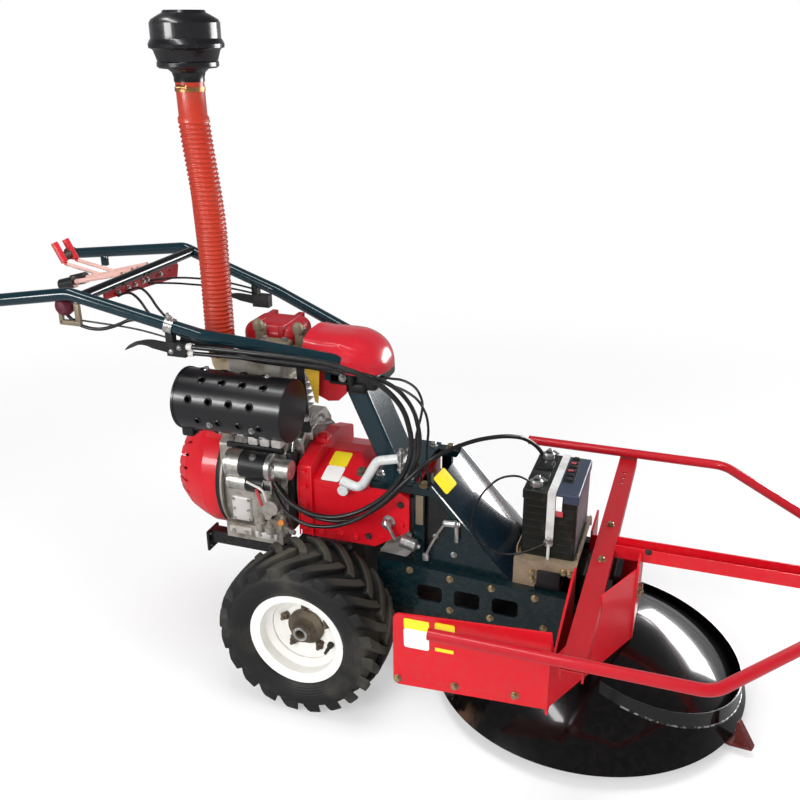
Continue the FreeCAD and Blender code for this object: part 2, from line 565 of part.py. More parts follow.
# Gear levers: two cranked rods with long grips, two straight ones with knobs, and the selector arm at the
# gearbox.
levers = []
for n, across in enumerate((52, 98)):
    levers.append(tube(f"gear_lever_rod_{n}", [
        (ahead("bend_ahead - 20"), f"{across}", "bend_z - 12.2"),
        (ahead("bend_ahead - 130"), f"{across}", "bend_z - 40"),
        (ahead("bend_ahead - 244"), f"{across}", "bend_z - 18"),
        (ahead("bend_ahead - 258"), f"{across}", "bend_z + 4"),
    ], "5", "12"))
    levers.append(tube(f"gear_lever_grip_{n}", [
        (ahead("bend_ahead - 246"), f"{across}", "bend_z - 14"),
        (ahead("bend_ahead - 272"), f"{across}", "bend_z + 36"),
    ], "9.5", "1"))
    levers.append(tube(f"knob_lever_rod_{n}", [
        (ahead("bend_ahead - 20"), f"{across - 70}", "bend_z - 11.4"),
        (ahead("bend_ahead - 172"), f"{across - 74}", "bend_z - 44"),
    ], "6", "1"))
    levers.append(tube(f"knob_lever_grip_{n}", [
        (ahead("bend_ahead - 162"), f"{across - 74}", "bend_z - 42"),
        (ahead("bend_ahead - 206"), f"{across - 74}", "bend_z - 54"),
    ], "15", "1"))
arm_y = "-inner_y - 19"
arm = tube("selector_arm", [
    (ahead("40"), arm_y, "527"), (ahead("88"), arm_y, "512"), (ahead("132"), arm_y, "592"),
    (ahead("186"), arm_y, "606"),
], "11", "24")
pivot = cylinder("selector_pivot", ahead("46"), "-inner_y - 28", "504", "13", "inner_y + 28 - gearbox_half",
                 ALONG_Y)
pairs = [fuse(f"lever_{n}", levers[2 * n], levers[2 * n + 1]) for n in range(4)]
node(together("gear_levers", *pairs, fuse("selector", arm, pivot)))

# Clutch levers: hooked blades in housings that are clamped under each bar.
hooks = []
for side, sign in SIDES:
    clamp = box(f"clutch_clamp_{side}", ahead("-352"), f"{sign} * 212 - 11", "822", "48", "22", "34")
    saddle_block = box(f"clutch_saddle_{side}", ahead("-354"), f"{sign} * 212 - 9", "850", "18", "18", "34")
    blade = padded(f"clutch_blade_{side}", [
        (ahead("-330"), "824"), (ahead("-330"), "848"), (ahead("-392"), "852", "110"),
        (ahead("-432"), "846", "60"),
        (ahead("-472"), "820"), (ahead("-432"), "838", "-60"), (ahead("-396"), "834"),
    ], "10", y=f"{sign} * 212", middle=True)
    hooks.append(cut(f"clutch_lever_{side}", fuse(f"clutch_lever_solid_{side}", clamp, saddle_block, blade),
                     nodes[f"handlebar_{side}"]))
node(together("clutch_levers", *hooks))

# ---------------------------------------------------------------- handlebar column and its hood
lean = Rotation(Vector(0, 1, 0), -value("column_lean"))
column = rounded("column_round",
                 box("column_box", ahead("column_foot - column_long / 2"), "-column_wide / 2", "column_low",
                     "column_long", "column_wide", "column_high", lean),
                 "8", lambda edge: edge.Length > value("column_high") - 1)
saddle = box("column_saddle", ahead("-20"), "-hood_half + hood_wall", "bar_front_z - 50", "58",
             "2 * (hood_half - hood_wall)", "46")
saddle_nose = box("column_saddle_nose", ahead("30"), "-56", "bar_front_z - 50", "54", "112", "34")
foot = box("column_foot_plate", ahead("bar_back + 4"), "-gearbox_half + 8", "foot_low + 0.2", "100",
           "2 * gearbox_half - 16", "7")
node(cut("handlebar_column", fuse("handlebar_column_solid", column, saddle, saddle_nose, foot), gearbox,
         nodes["handlebar_left"], nodes["handlebar_right"]))


def bonnet(name, wall, drop):
    """What a side, a front and a plan outline have in common, each set in by a wall."""
    side_view = padded(name + "_side", [
        (ahead(f"hood_back + {wall}"), f"806 - {drop}"), (ahead(f"hood_front - {wall}"), f"768 - {drop}"),
        (ahead(f"hood_front - {wall}"), "788", f"92 - {wall}"),
        (ahead(f"64 - {wall}"), f"836 - {wall}", "260"),
        (ahead("-20"), f"hood_crown - {wall}", f"110 - {wall}"), (ahead(f"hood_back + {wall}"), "822"),
    ], "2 * hood_half", middle=True)
    front_view = padded(name + "_front", [
        (f"-hood_half + {wall}", "700"), (f"hood_half - {wall}", "700"), (f"hood_half - {wall}", "800", "60"),
        ("64", f"hood_crown - 14 - {wall}", "400"), ("-64", f"hood_crown - 14 - {wall}", "60"),
        (f"-hood_half + {wall}", "800"),
    ], "260", x=ahead("-110"), role="YZ_Plane")
    plan = padded(name + "_plan", [
        (ahead(f"hood_back + {wall}"), f"-hood_half + 16 + {wall}"), (ahead("-50"), f"-hood_half + {wall}"),
        (ahead("40"), f"-hood_half + {wall}", "112"), (ahead(f"hood_front - {wall}"), "-22"),
        (ahead(f"hood_front - {wall}"), "22", "112"), (ahead("40"), f"hood_half - {wall}"),
        (ahead("-50"), f"hood_half - {wall}"), (ahead(f"hood_back + {wall}"), f"hood_half - 16 - {wall}"),
    ], "300", z="660", role="XY_Plane")
    return common(name, common(name + "_long", side_view, front_view), plan)


notches = [tube(f"column_hood_notch_{side}", [
    (ahead("bar_front"), f"{sign} * bar_front_y", "bar_front_z"),
    (ahead("bar_mid"), f"{sign} * bar_mid_y", "bar_mid_z"),
], "grip_radius + 4", "1") for side, sign in SIDES]
node(cut("column_hood", bonnet("column_hood_outside", 0, 0), bonnet("column_hood_inside", "hood_wall", 20),
         *notches))

# ---------------------------------------------------------------- frame between the gearbox and the cutter
for side, sign in SIDES:
    rail = padded(f"side_rail_{side}", [
        (ahead("side_back"), "side_low + 6"), (ahead("side_front"), "side_low"),
        (ahead("side_front"), "side_top_front"), (ahead("side_back"), "side_top_back"),
    ], "side_wall", y=f"{sign} * (side_y - side_wall / 2)", middle=True)
    windows = [rounded(f"side_window_round_{side}_{n}",
                       box(f"side_window_{side}_{n}", ahead(f"232 + {n} * window_pitch"),
                           f"{sign} * side_y - 20", "side_low + 34", "window_long", "40", "window_high"),
                       "10", runs_along(Vector(0, 1, 0))) for n in range(3)]
    web = padded(f"side_web_{side}", [
        (ahead("plate_back"), "side_top_back - 40"), (ahead("slope_foot"), "side_top_front - 30"),
        (ahead("slope_foot"), "side_top_front + 2"), (ahead("slope_top"), "slope_top_z"),
        (ahead("plate_back"), "slope_top_z"),
    ], "side_wall", y=f"{sign} * (inner_y - side_wall / 2)", middle=True)
    flange = padded(f"side_flange_{side}", [
        (ahead("side_back"), "side_top_back - side_wall"),
        (ahead("side_front"), "side_top_front - side_wall"),
        (ahead("side_front"), "side_top_front"), (ahead("side_back"), "side_top_back"),
    ], "side_y - inner_y + side_wall", y=f"{sign} * (side_y + inner_y - side_wall) / 2", middle=True)
    bar = box(f"side_bar_{side}", ahead("bar_back"), "inner_y - 30" if sign > 0 else "-inner_y",
              "gearbox_ledge + 0.2", "slope_top + 4 - bar_back", "30", "foot_low - gearbox_ledge - 0.2")
    post = box(f"side_post_{side}", ahead("214"), "inner_y - 18" if sign > 0 else "-inner_y + 4",
               "side_top_back - 12", "26", "14", "gearbox_ledge + 4 - side_top_back + 12")
    node(fuse(f"side_plate_{side}", cut(f"side_rail_cut_{side}", rail, *windows), web, flange, bar, post))

# Arched splash cover that lies in the slope of the two side plates.
slope_degrees = math.degrees(math.atan2(value("slope_top_z - side_top_front"),
                                        value("slope_foot - slope_top")))
slope_long = math.hypot(value("slope_top_z - side_top_front"), value("slope_foot - slope_top"))
half_chord = "(inner_y - side_wall)"
arch = f"(({half_chord} * {half_chord} + cover_rise * cover_rise) / (2 * cover_rise))"
node(padded("drive_cover", [
    (f"-{half_chord}", "0"), (f"-{half_chord} + cover_wall", "0", f"-({arch} - cover_wall)"),
    (f"{half_chord} - cover_wall", "0"), (half_chord, "0", arch),
], f"{slope_long}", x=ahead("slope_top"), z="slope_top_z", role="YZ_Plane",
    turn=Rotation(Vector(0, 1, 0), slope_degrees)))

# ---------------------------------------------------------------- battery
case = rounded("battery_case_round",
               box("battery_case", ahead("battery_back"), "-battery_wide / 2", "battery_low", "battery_long",
                   "battery_wide", "battery_high - 22"),
               "5", runs_along(Vector(0, 0, 1)))
lid = rounded("battery_lid_round",
              box("battery_lid", ahead("battery_back - 2"), "-battery_wide / 2 - 2",
                  "battery_low + battery_high - 22", "battery_long + 4", "battery_wide + 4", "22"),
              "4", lambda edge: edge.CenterOfMass.z > value("battery_low + battery_high - 21"))
posts = [cylinder(f"battery_post_{n}", ahead("battery_back + 24"), f"{across}",
                  "battery_low + battery_high - 1", "8", "15") for n, across in enumerate((-76, 76))]
node(fuse("battery", case, lid, *posts))

# Zinc-plated tray: a plate with an upstand at each long edge and a leg down to each side rail.
tray_bottom = "battery_low - tray_wall"
tray_half = "(battery_wide / 2 + 26)"
tray = [
    box("tray_plate", ahead("battery_back - 10"), f"-{tray_half}", tray_bottom, "battery_long + 20",
        f"2 * {tray_half}", "tray_wall"),
    box("tray_lip_back", ahead("battery_back - 10"), "-battery_wide / 2", tray_bottom, "tray_wall",
        "battery_wide", "20"),
    box("tray_lip_front", ahead("battery_back + battery_long + 10 - tray_wall"), "-battery_wide / 2",
        tray_bottom, "tray_wall", "battery_wide", "20"),
]
for side, sign in SIDES:
    tray.append(padded(f"tray_leg_{side}", [
        (ahead("battery_back - 10"), "side_top_front + 7"),
        (ahead("battery_back + 40"), "side_top_front + 5"),
        (ahead("battery_back + 60"), "battery_low - 24"),
        (ahead("battery_back + battery_long + 10"), "battery_low - 24"),
        (ahead("battery_back + battery_long + 10"), "battery_low"),
        (ahead("battery_back - 10"), "battery_low"),
    ], "tray_wall", y=f"{sign} * ({tray_half} - tray_wall / 2)", middle=True))
node(fuse("battery_tray", *tray))

# Hold-down strap over the battery.
strap_half = "(battery_wide / 2 + 3)"
strap_x = ahead("battery_back + 56")
strap = [
    box("strap_top", strap_x, f"-{strap_half} - strap_wall", "battery_low + battery_high + 0.2", "strap_wide",
        f"2 * ({strap_half} + strap_wall)", "strap_wall"),
]
for side, sign in SIDES:
    strap.append(box(f"strap_leg_{side}", strap_x,
                     f"{sign} * ({strap_half} + strap_wall / 2) - strap_wall / 2",
                     "battery_low + 38", "strap_wide", "strap_wall", "battery_high - 38 + strap_wall"))
    strap.append(cylinder(f"strap_rod_{side}", f"{strap_x} + strap_wide / 2",
                          f"{sign} * ({strap_half} + 4.5)", "battery_low + 0.2", "3.5", "56"))
node(fuse("battery_strap", *strap))

# ---------------------------------------------------------------- red front frame
guard_y = "(wing_y + guard_stand)"
beam_half = "(wing_y + guard_stand + beam_end)"
# Cross beam: an inverted channel on top of the wings, under the guard bars.
beam_outside = box("beam_outside", ahead("beam_back"), f"-{beam_half}", "beam_top - beam_high + 1.5",
                   "beam_wide", f"2 * {beam_half}", "beam_high - 1.5")
beam = cut("crossbeam_channel", beam_outside,
           box("beam_inside", ahead("beam_back + beam_wall"), f"-{beam_half} - 1", "beam_top - beam_high",
               "beam_wide - 2 * beam_wall", f"2 * {beam_half} + 2", "beam_high - beam_wall"))
beam_holes = [cylinder(f"beam_hole_{n}", ahead("beam_back + beam_wide / 2"), f"330 + {n} * 30",
                       "beam_top - 20", "5", "40") for n in range(3)]
node(cut("crossbeam", beam, *beam_holes))

# Right wing: a side plate, a panel that closes it towards the nose, the nose plate and a gusset to the side
# rail.
run = Vector(value("nose_ahead - wing_front"), value("wing_y - nose_y"), 0)
panel_long = run.Length
panel_degrees = math.degrees(math.atan2(run.y, run.x))
beam_front = panel_long * value("(beam_back + beam_wide + 1 - wing_front) / (nose_ahead - wing_front)")
plate = padded("wing_plate", [
    (ahead("wing_back"), "wing_low"), (ahead("wing_front"), "wing_low + 18"),
    (ahead("wing_front"), "wing_top_front"), (ahead("wing_back"), "wing_top"),
], "sheet", y="-(wing_y - sheet / 2)", middle=True)
softened(plate, "14", lambda edge: runs_along(Vector(0, 1, 0))(edge)
         and edge.CenterOfMass.x < value(ahead("wing_back + 5")))
panel = padded("wing_panel", [
    ("0", "wing_low + 18"), (f"{panel_long}", "nose_low"), (f"{panel_long}", "nose_top"),
    (f"{beam_front}", "panel_top"), (f"{beam_front}", "beam_top - beam_high"), ("20", "beam_top - beam_high"),
    ("0", "wing_top_front"),
], "sheet", x=ahead("wing_front - sheet / 2"), y="-(wing_y - sheet)",
    turn=Rotation(Vector(0, 0, 1), panel_degrees), middle=True)
gusset = padded("wing_gusset", [
    ("-wing_y + sheet / 2", "side_top_front - 70"), ("-side_y - 0.3", "side_top_front - 70"),
    ("-side_y - 0.3", "panel_top"), ("-side_y - 40", "panel_top"),
    ("-wing_y + sheet / 2", "side_top_front + 20"),
], "sheet", x=ahead("side_front - 3"), role="YZ_Plane")
nose_plate = padded("wing_nose", [
    ("-nose_y - 3", "nose_low + 6"), ("bracket_y - 0.3", "nose_low + 6"), ("bracket_y - 0.3", "bracket_top"),
    ("channel_wide / 2", "channel_low - 0.3"), ("-channel_wide / 2 - 0.5", "channel_low - 0.3"),
    ("-channel_wide / 2 - 0.5", "nose_top + 14"), ("-nose_y - 3", "nose_top + 14"),
], "sheet", x=ahead("nose_ahead - 3"), role="YZ_Plane")
node(cut("wing_right", fuse("wing_right_solid", plate, panel, gusset, nose_plate), beam_outside))

# Left bracket: the machine is open on this side, so a low plate ties the nose to the side rail.
node(fuse("wing_left",
          box("bracket_plate", ahead("side_front + 0.3"), "bracket_y", "nose_low + 12",
              "nose_ahead + 2 - side_front - 0.3", "sheet", "bracket_top - nose_low - 12"),
          box("bracket_gusset", ahead("side_front + 0.3"), "bracket_y", "side_top_front - 70", "sheet",
              "side_y + 60 - bracket_y", "bracket_top + 12 - side_top_front + 70")))

# Guard bars: round tubes that lie along both sides and close on the centre channel at the nose.
for side, sign in SIDES:
    bar = tube(f"guard_tube_{side}", [
        (ahead("guard_back"), f"{sign} * {guard_y}", "beam_top + bar_radius + 2.5"),
        (ahead("guard_bend"), f"{sign} * {guard_y}", "beam_top + bar_radius + 2.5"),
        (ahead("tip_ahead - 20"), "0", "beam_top + bar_radius + 2.5"),
    ], "bar_radius", "guard_turn")
    trim_from = "-channel_wide / 2" if sign < 0 else "-300"
    other = box(f"guard_trim_{side}", ahead("guard_bend"), trim_from, "300", "600", "300 + channel_wide / 2",
                "200")
    node(cut(f"guard_bar_{side}", bar, other))

# Centre channel, open at the top.
node(cut("guard_channel",
         box("channel_outside", ahead("beam_back + beam_wide"), "-channel_wide / 2", "channel_low",
             "tip_ahead - beam_back - beam_wide", "channel_wide", "channel_high + 20"),
         box("channel_inside", ahead("beam_back + beam_wide - 1"), "-channel_wide / 2 + channel_wall",
             "channel_low + channel_wall", "tip_ahead - beam_back - beam_wide - channel_wall + 1",
             "channel_wide - 2 * channel_wall", "channel_high + 30"),
         box("channel_top", ahead("beam_back"), "-channel_wide", "channel_low + channel_high",
             "guard_bend - beam_back + 300", "2 * channel_wide", "60")))

# ---------------------------------------------------------------- cutter
disc_x = ahead("disc_ahead")
dome_centre = "(dome_rim_z - sqrt(dome_radius * dome_radius - dome_rim * dome_rim))"
dome_inner = "(dome_radius - dome_wall)"
dome = turned("dome_shell", [
    ("dome_rim", "dome_rim_z", "dome_radius"),
    ("dome_hole", f"{dome_centre} + sqrt(dome_radius * dome_radius - dome_hole * dome_hole)"),
    ("dome_hole", f"{dome_centre} + sqrt({dome_inner} * {dome_inner} - dome_hole * dome_hole)",
     f"-{dome_inner}"),
    ("dome_rim - dome_wall", f"{dome_centre} + sqrt({dome_inner} * {dome_inner}"
     " - (dome_rim - dome_wall) * (dome_rim - dome_wall))"),
], x=disc_x)
collar_turn = Rotation(Vector(0, 1, 0), value("collar_tilt"))
collar = turned("collar_wall", [
    ("collar_radius", "0"), ("collar_radius + collar_deep * collar_flare", "-collar_deep"),
    ("collar_radius + collar_deep * collar_flare - dome_wall", "-collar_deep"),
    ("collar_radius - dome_wall", "0"),
], x=ahead("collar_ahead"), z="collar_z", turn=collar_turn)
ball = primitive("Part::Sphere", "dome_ball", disc_x, "0", dome_centre, Radius="dome_radius - dome_wall / 2")
# Behind the nose plates the collar is cut away, where the front frame stands on the dome.
behind = box("collar_back_cut", ahead("disc_ahead - 320"), "-300", "0", "nose_ahead - disc_ahead + 300 - 30",
             "600", "400")
node(fuse("disc_hood", dome, cut("collar_trimmed", collar, ball, behind)))

# Blade carrier with its hub and quill, which turns round the fixed centre post.
hub_top = "neck_low - disc_gap"
node(turned("cutting_disc", [
    ("post_radius + post_fit", "disc_low"), ("disc_radius", "disc_low"),
    ("disc_radius", "disc_low + disc_plate"),
    ("hub_tube + 30", "disc_low + disc_plate"), ("hub_tube + 30", "disc_low + disc_plate + 12"),
    ("hub_tube", "disc_low + disc_plate + 18"), ("hub_tube", hub_top), ("quill_radius", hub_top),
    ("quill_radius", "neck_low + 30"), ("post_radius + post_fit", "neck_low + 30"),
], x=disc_x))

# Two blades on the carrier, each with an upturned tooth beyond the dome's rim.
blades = []
for n in range(int(value("blade_count"))):
    spoke = Rotation(Vector(0, 0, 1), -22 + n * 360 / value("blade_count"))
    blade_low = "disc_low + disc_plate"
    bar = padded(f"blade_bar_{n}", [
        ("disc_radius - 70", "-blade_wide / 2"), ("dome_rim + 4", "-blade_wide / 2"),
        ("tooth_reach", "-tooth_wall / 2"), ("tooth_reach", "tooth_wall / 2"),
        ("dome_rim + 4", "blade_wide / 2"), ("disc_radius - 70", "blade_wide / 2"),
    ], "blade_plate", x=disc_x, z=blade_low, role="XY_Plane", turn=spoke)
    tooth = padded(f"blade_tooth_{n}", [
        ("dome_rim + 7", f"{blade_low} + blade_plate - 1"), ("tooth_reach", f"{blade_low} + blade_plate - 1"),
        ("dome_rim + 12", f"{blade_low} + tooth_high"), ("dome_rim + 7", f"{blade_low} + tooth_high"),
    ], "tooth_wall", x=disc_x, turn=spoke, middle=True)
    blades.append(fuse(f"blade_{n}", bar, tooth))
node(together("disc_teeth", *blades))

# Gliding pan under the cutter, which carries the front of the machine.
node(turned("skid_pan", [
    ("0", "0"), ("skid_flat", "0", "460"), ("skid_radius", "skid_lift"), ("skid_radius", "skid_lift + 3"),
    ("skid_flat", "skid_wall"), ("0", "skid_wall"),
], x=disc_x))

# Bevel gearbox over the dome: case, neck through the dome, mounting plate and the sloping drive tube.
bevel = rounded("bevel_case_round",
                box("bevel_case", ahead("disc_ahead - bevel_long / 2"), "-bevel_wide / 2", "bevel_low",
                    "bevel_long", "bevel_wide", "bevel_top - bevel_low"),
                "16", runs_along(Vector(0, 0, 1)))
neck = cylinder("bevel_neck", disc_x, "0", "neck_low", "neck_radius", "bevel_low + 1 - neck_low")
neck_flange = cut("bevel_flange",
                  cylinder("bevel_flange_round", disc_x, "0", "neck_low + 20", "neck_radius + 36",
                           "bevel_low - 19 - neck_low"),
                  primitive("Part::Sphere", "bevel_flange_seat", disc_x, "0", dome_centre,
                            Radius="dome_radius + 0.2"))
centre_post = cylinder("bevel_post", disc_x, "0", "skid_wall", "post_radius", "bevel_low + 10 - skid_wall")
quill_bore = cylinder("bevel_bore", disc_x, "0", "neck_low - 1", "quill_radius + quill_fit", "36")
mount_plate = box("bevel_plate", ahead("disc_ahead - bevel_long / 2 - 6"), "-side_y + side_wall + 0.3",
                  "side_low + 20", "8", "2 * (side_y - side_wall - 0.3)", "80")
drive = tube("bevel_drive_tube", [
    (ahead("disc_ahead - bevel_long / 2 + 4"), "0", "drive_low"), (ahead("203.5"), "0", "drive_top"),
], "drive_tube", "0")
drive_flange = cylinder("bevel_drive_flange", ahead("204.5"), "0", "drive_top", "drive_tube + 20", "12",
                        ALONG_X)
bevel_solid = cut("disc_gearbox_bored", fuse("disc_gearbox_solid", bevel, neck, neck_flange, mount_plate,
                                             drive, drive_flange), quill_bore, gearbox)
node(fuse("disc_gearbox", bevel_solid, centre_post))

# ---------------------------------------------------------------- cables
def row(*points):
    """Hand-set cable points, given ahead of the axle, as vectors in the row's frame."""
    return [Vector(value("axle_x") + x, y, z) for x, y, z in points]


cables = [
    cord("cable_clutch", row((-120.4, -176, 510), (-84, -190, 474), (-26, -196, 450), (40, -193, 450),
                             (98, -188, 472), (154, -182, 512), (196, -178, 562), (220, -174, 616),
                             (226, -172, 672), (208, -172, 740), (170, -174, 784), (118, -178, 812),
                             (58, -185, 830), (-10, -194, 840), (-90, -203, 845), (-190, -209, 847),
                             (-303.8, -212, 846)), 6),
    cord("cable_throttle", row((-120.4, -158, 492), (-84, -162, 450), (-26, -166, 424), (42, -167, 426),
                               (104, -167, 452), (162, -167, 500), (208, -167, 556), (236, -166, 616),
                               (243, -163, 674), (226, -160, 742), (186, -159, 786), (130, -161, 806),
                               (66, -168, 815), (-10, -177, 820), (-90, -188, 825), (-190, -200, 830),
                               (-303.8, -208, 829)), 5),
    cord("cable_battery", row((-120.4, -182, 490), (-86, -198, 446), (-28, -205, 424), (44, -207, 434),
                              (108, -205, 466), (166, -200, 516), (214, -190, 572), (260, -168, 620),
                              (304, -130, 642), (352, -80, 650), (402, -22, 642), (438, 30, 620),
                              (464, 62, 588), (479.2, 75, 561)), 5),
    cord("cable_left", row((84.3, -34, 762), (124, -42, 758), (164, -53, 764), (200, -62, 752),
                           (220, -72, 722), (216, -78, 684), (206, -86, 640), (212, -98, 590),
                           (226, -108, 556), (228, -110, 527.3)), 3),
    cord("cable_right", row((84.3, -49, 760), (128, -64, 753), (176, -80, 750), (214, -90, 734),
                            (236, -97, 704), (242, -99, 664), (238, -102, 622), (240, -106, 576),
                            (246, -111, 548), (247, -112, 527.3)), 3),
    cord("cable_earth", row((481, -79, 562), (454, -105, 588), (416, -122, 584), (382, -132, 548),
                            (362, -139, 502), (360, -143, 456), (382, -145, 418), (426, -142, 398),
                            (470, -134, 402), (504, -122, 416), (529, -111, 430)), 2.5),
]
node(together("cables", *cables))

# ---------------------------------------------------------------- check and write
doc.recompute()
for item in doc.Objects:
    if any(word in item.State for word in ("Invalid", "Error")):
        raise RuntimeError(f"{item.Name} did not compute: {item.State}")
for name, item in nodes.items():
    item.Label = name
    shape = item.Shape
    if shape.isNull() or not shape.isValid() or not shape.Solids:
        raise RuntimeError(f"{name} is not a valid solid")
for name, item in nodes.items():
    item.Shape.exportStep(f"parts/{name}.step")
print(len(nodes), "sub-parts")
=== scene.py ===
"""Looks of the self-propelled disc mower, built round its CAD model. Metres, in the model's own frame:
+X forwards to the cutter, +Y to the left, +Z up, the origin on the ground below the middle of the machine."""

import math

import bmesh
import bpy
from mathutils import Matrix, Vector


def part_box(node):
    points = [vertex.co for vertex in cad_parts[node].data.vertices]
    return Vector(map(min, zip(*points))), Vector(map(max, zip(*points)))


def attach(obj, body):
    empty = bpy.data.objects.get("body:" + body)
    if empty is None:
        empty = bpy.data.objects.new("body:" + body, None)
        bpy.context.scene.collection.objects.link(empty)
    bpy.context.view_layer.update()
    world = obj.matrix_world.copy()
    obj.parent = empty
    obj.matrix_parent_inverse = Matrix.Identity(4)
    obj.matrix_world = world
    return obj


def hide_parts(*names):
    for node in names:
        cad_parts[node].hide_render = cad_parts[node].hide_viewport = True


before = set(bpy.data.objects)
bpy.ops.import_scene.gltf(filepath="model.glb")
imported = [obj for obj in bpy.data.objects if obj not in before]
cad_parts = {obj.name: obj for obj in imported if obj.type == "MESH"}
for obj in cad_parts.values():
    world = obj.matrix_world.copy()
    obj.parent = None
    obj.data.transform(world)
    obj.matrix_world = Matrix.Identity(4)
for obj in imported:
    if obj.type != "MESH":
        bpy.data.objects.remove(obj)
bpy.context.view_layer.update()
stage = bpy.context.scene
stage.view_settings.view_transform = "Standard"

# ---------------- Camera, floor and lamps
# The machine stands on a pale studio floor that fades into white. The camera looks from its right front
# quarter, from above the handlebars, through a normal lens. Four soft lamps light it, and three narrow ones
# show only as gleams in its paint.
turn, dip, roll = math.radians(19.132), math.radians(22.068), math.radians(0.26)
sight = Vector((-math.sin(turn) * math.cos(dip), math.cos(turn) * math.cos(dip), -math.sin(dip)))
level = Vector((math.cos(turn), math.sin(turn), 0))
right = level * math.cos(roll) - level.cross(sight) * math.sin(roll)
camera = bpy.data.objects.new("camera", bpy.data.cameras.new("camera"))
camera.data.sensor_width, camera.data.lens = 36, 41.73
camera.matrix_world = (Matrix.Translation((0.6595, -1.957, 1.529))
                       @ Matrix((right, right.cross(sight), -sight)).transposed().to_4x4())
stage.collection.objects.link(camera)
stage.camera = camera


class Shade:
    """One socket of a material. Python's operators on it add the nodes that do the same."""

    def __init__(self, tree, socket=None):
        self.tree, self.socket = tree, socket

    def node(self, kind, settings=None, given=None, output=0):
        """The output of a new node: its settings come first, then the values or links of its sockets."""
        made = self.tree.nodes.new(f"ShaderNode{kind}")
        for name, setting in (settings or {}).items():
            setattr(made, name, setting)
        for name, value in (given or {}).items():
            if isinstance(value, Shade):
                self.tree.links.new(value.socket, made.inputs[name])
            else:
                made.inputs[name].default_value = value
        return Shade(self.tree, made.outputs[output])

    def maths(self, operation, *values):
        return self.node("Math", {"operation": operation}, dict(enumerate(values)))

    def __add__(self, other):
        return self.maths("ADD", self, other)

    def __sub__(self, other):
        return self.maths("SUBTRACT", self, other)

    def __rsub__(self, other):
        return self.maths("SUBTRACT", other, self)

    def __mul__(self, other):
        return self.maths("MULTIPLY", self, other)

    def most(self, other):
        return self.maths("MAXIMUM", self, other)

    def wave(self, turns):
        """A sine that makes that many turns over one unit."""
        return self.maths("SINE", self * (turns * math.tau))

    def rise(self, low, high):
        """0 below low, 1 above high and a smooth slope between them."""
        return self.node("MapRange", {"interpolation_type": "SMOOTHSTEP"},
                         {"Value": self, "From Min": low, "From Max": high})

    def mix(self, first, second):
        """A colour: first where this mask is 0 and second where it is 1."""
        first, second = ((*c, 1) if isinstance(c, tuple) else c for c in (first, second))
        return self.node("Mix", {"data_type": "RGBA"}, {0: self, 6: first, 7: second}, output=2)

    def axis(self, name):
        return self.node("SeparateXYZ", None, {"Vector": self}, output=name)

    def noise(self, scale, detail=4, rough=0.55):
        return self.node("TexNoise", None,
                         {"Vector": self, "Scale": scale, "Detail": detail, "Roughness": rough})

    def length(self):
        return self.node("VectorMath", {"operation": "LENGTH"}, {0: self}, output="Value")


def link_to_scene(name, data):
    item = bpy.data.objects.new(name, data)
    stage.collection.objects.link(item)
    return item


sky = bpy.data.worlds.new("studio")
stage.world = sky
sky.use_nodes = True
rays = Shade(sky.node_tree)
climb = rays.node("TexCoord", output="Generated").axis("Z")
seen = rays.node("LightPath", output="Is Camera Ray")
seen = seen.most(rays.node("LightPath", output="Is Transmission Ray"))
backdrop = seen.mix((0.60, 0.60, 0.61), (1.0, 1.0, 1.0))
mirrored = climb.rise(-0.05, 0.65).mix((0.50, 0.50, 0.52), (0.11, 0.11, 0.12))
sky_colour = rays.node("LightPath", output="Is Glossy Ray").mix(backdrop, mirrored)
sky.node_tree.links.new(sky_colour.socket, sky.node_tree.nodes["Background"].inputs["Color"])

floor_shape = bmesh.new()
bmesh.ops.create_circle(floor_shape, cap_ends=True, segments=64, radius=40)
floor_mesh = bpy.data.meshes.new("floor")
floor_shape.to_mesh(floor_mesh)
floor_shape.free()
floor = link_to_scene("floor", floor_mesh)
floor_paint = bpy.data.materials.new("floor_paint")
floor_paint.use_nodes = True
floor_tree = floor_paint.node_tree
spot = Shade(floor_tree).node("TexCoord", output="Object")
floor_shader = floor_tree.nodes["Principled BSDF"]
floor_shader.inputs["Base Color"].default_value = (0.9, 0.9, 0.9, 1)
floor_shader.inputs["Roughness"].default_value = 0.8
far = spot.length().rise(1.0, 3.2).most(0.42) * spot.node("LightPath", output="Is Camera Ray")
white = spot.node("Emission", None, {"Color": (1, 1, 1, 1), "Strength": 1.0})
dull = spot.node("BsdfDiffuse", None, {"Color": (0.10, 0.10, 0.11, 1)})
mirrored = spot.node("LightPath", output="Is Glossy Ray") * 0.65
matt = spot.node("MixShader", None, {0: mirrored, 1: Shade(floor_tree, floor_shader.outputs[0]), 2: dull})
faded = spot.node("MixShader", None, {0: far, 1: matt, 2: white})
floor_tree.links.new(faded.socket, floor_tree.nodes["Material Output"].inputs["Surface"])
floor_mesh.materials.append(floor_paint)

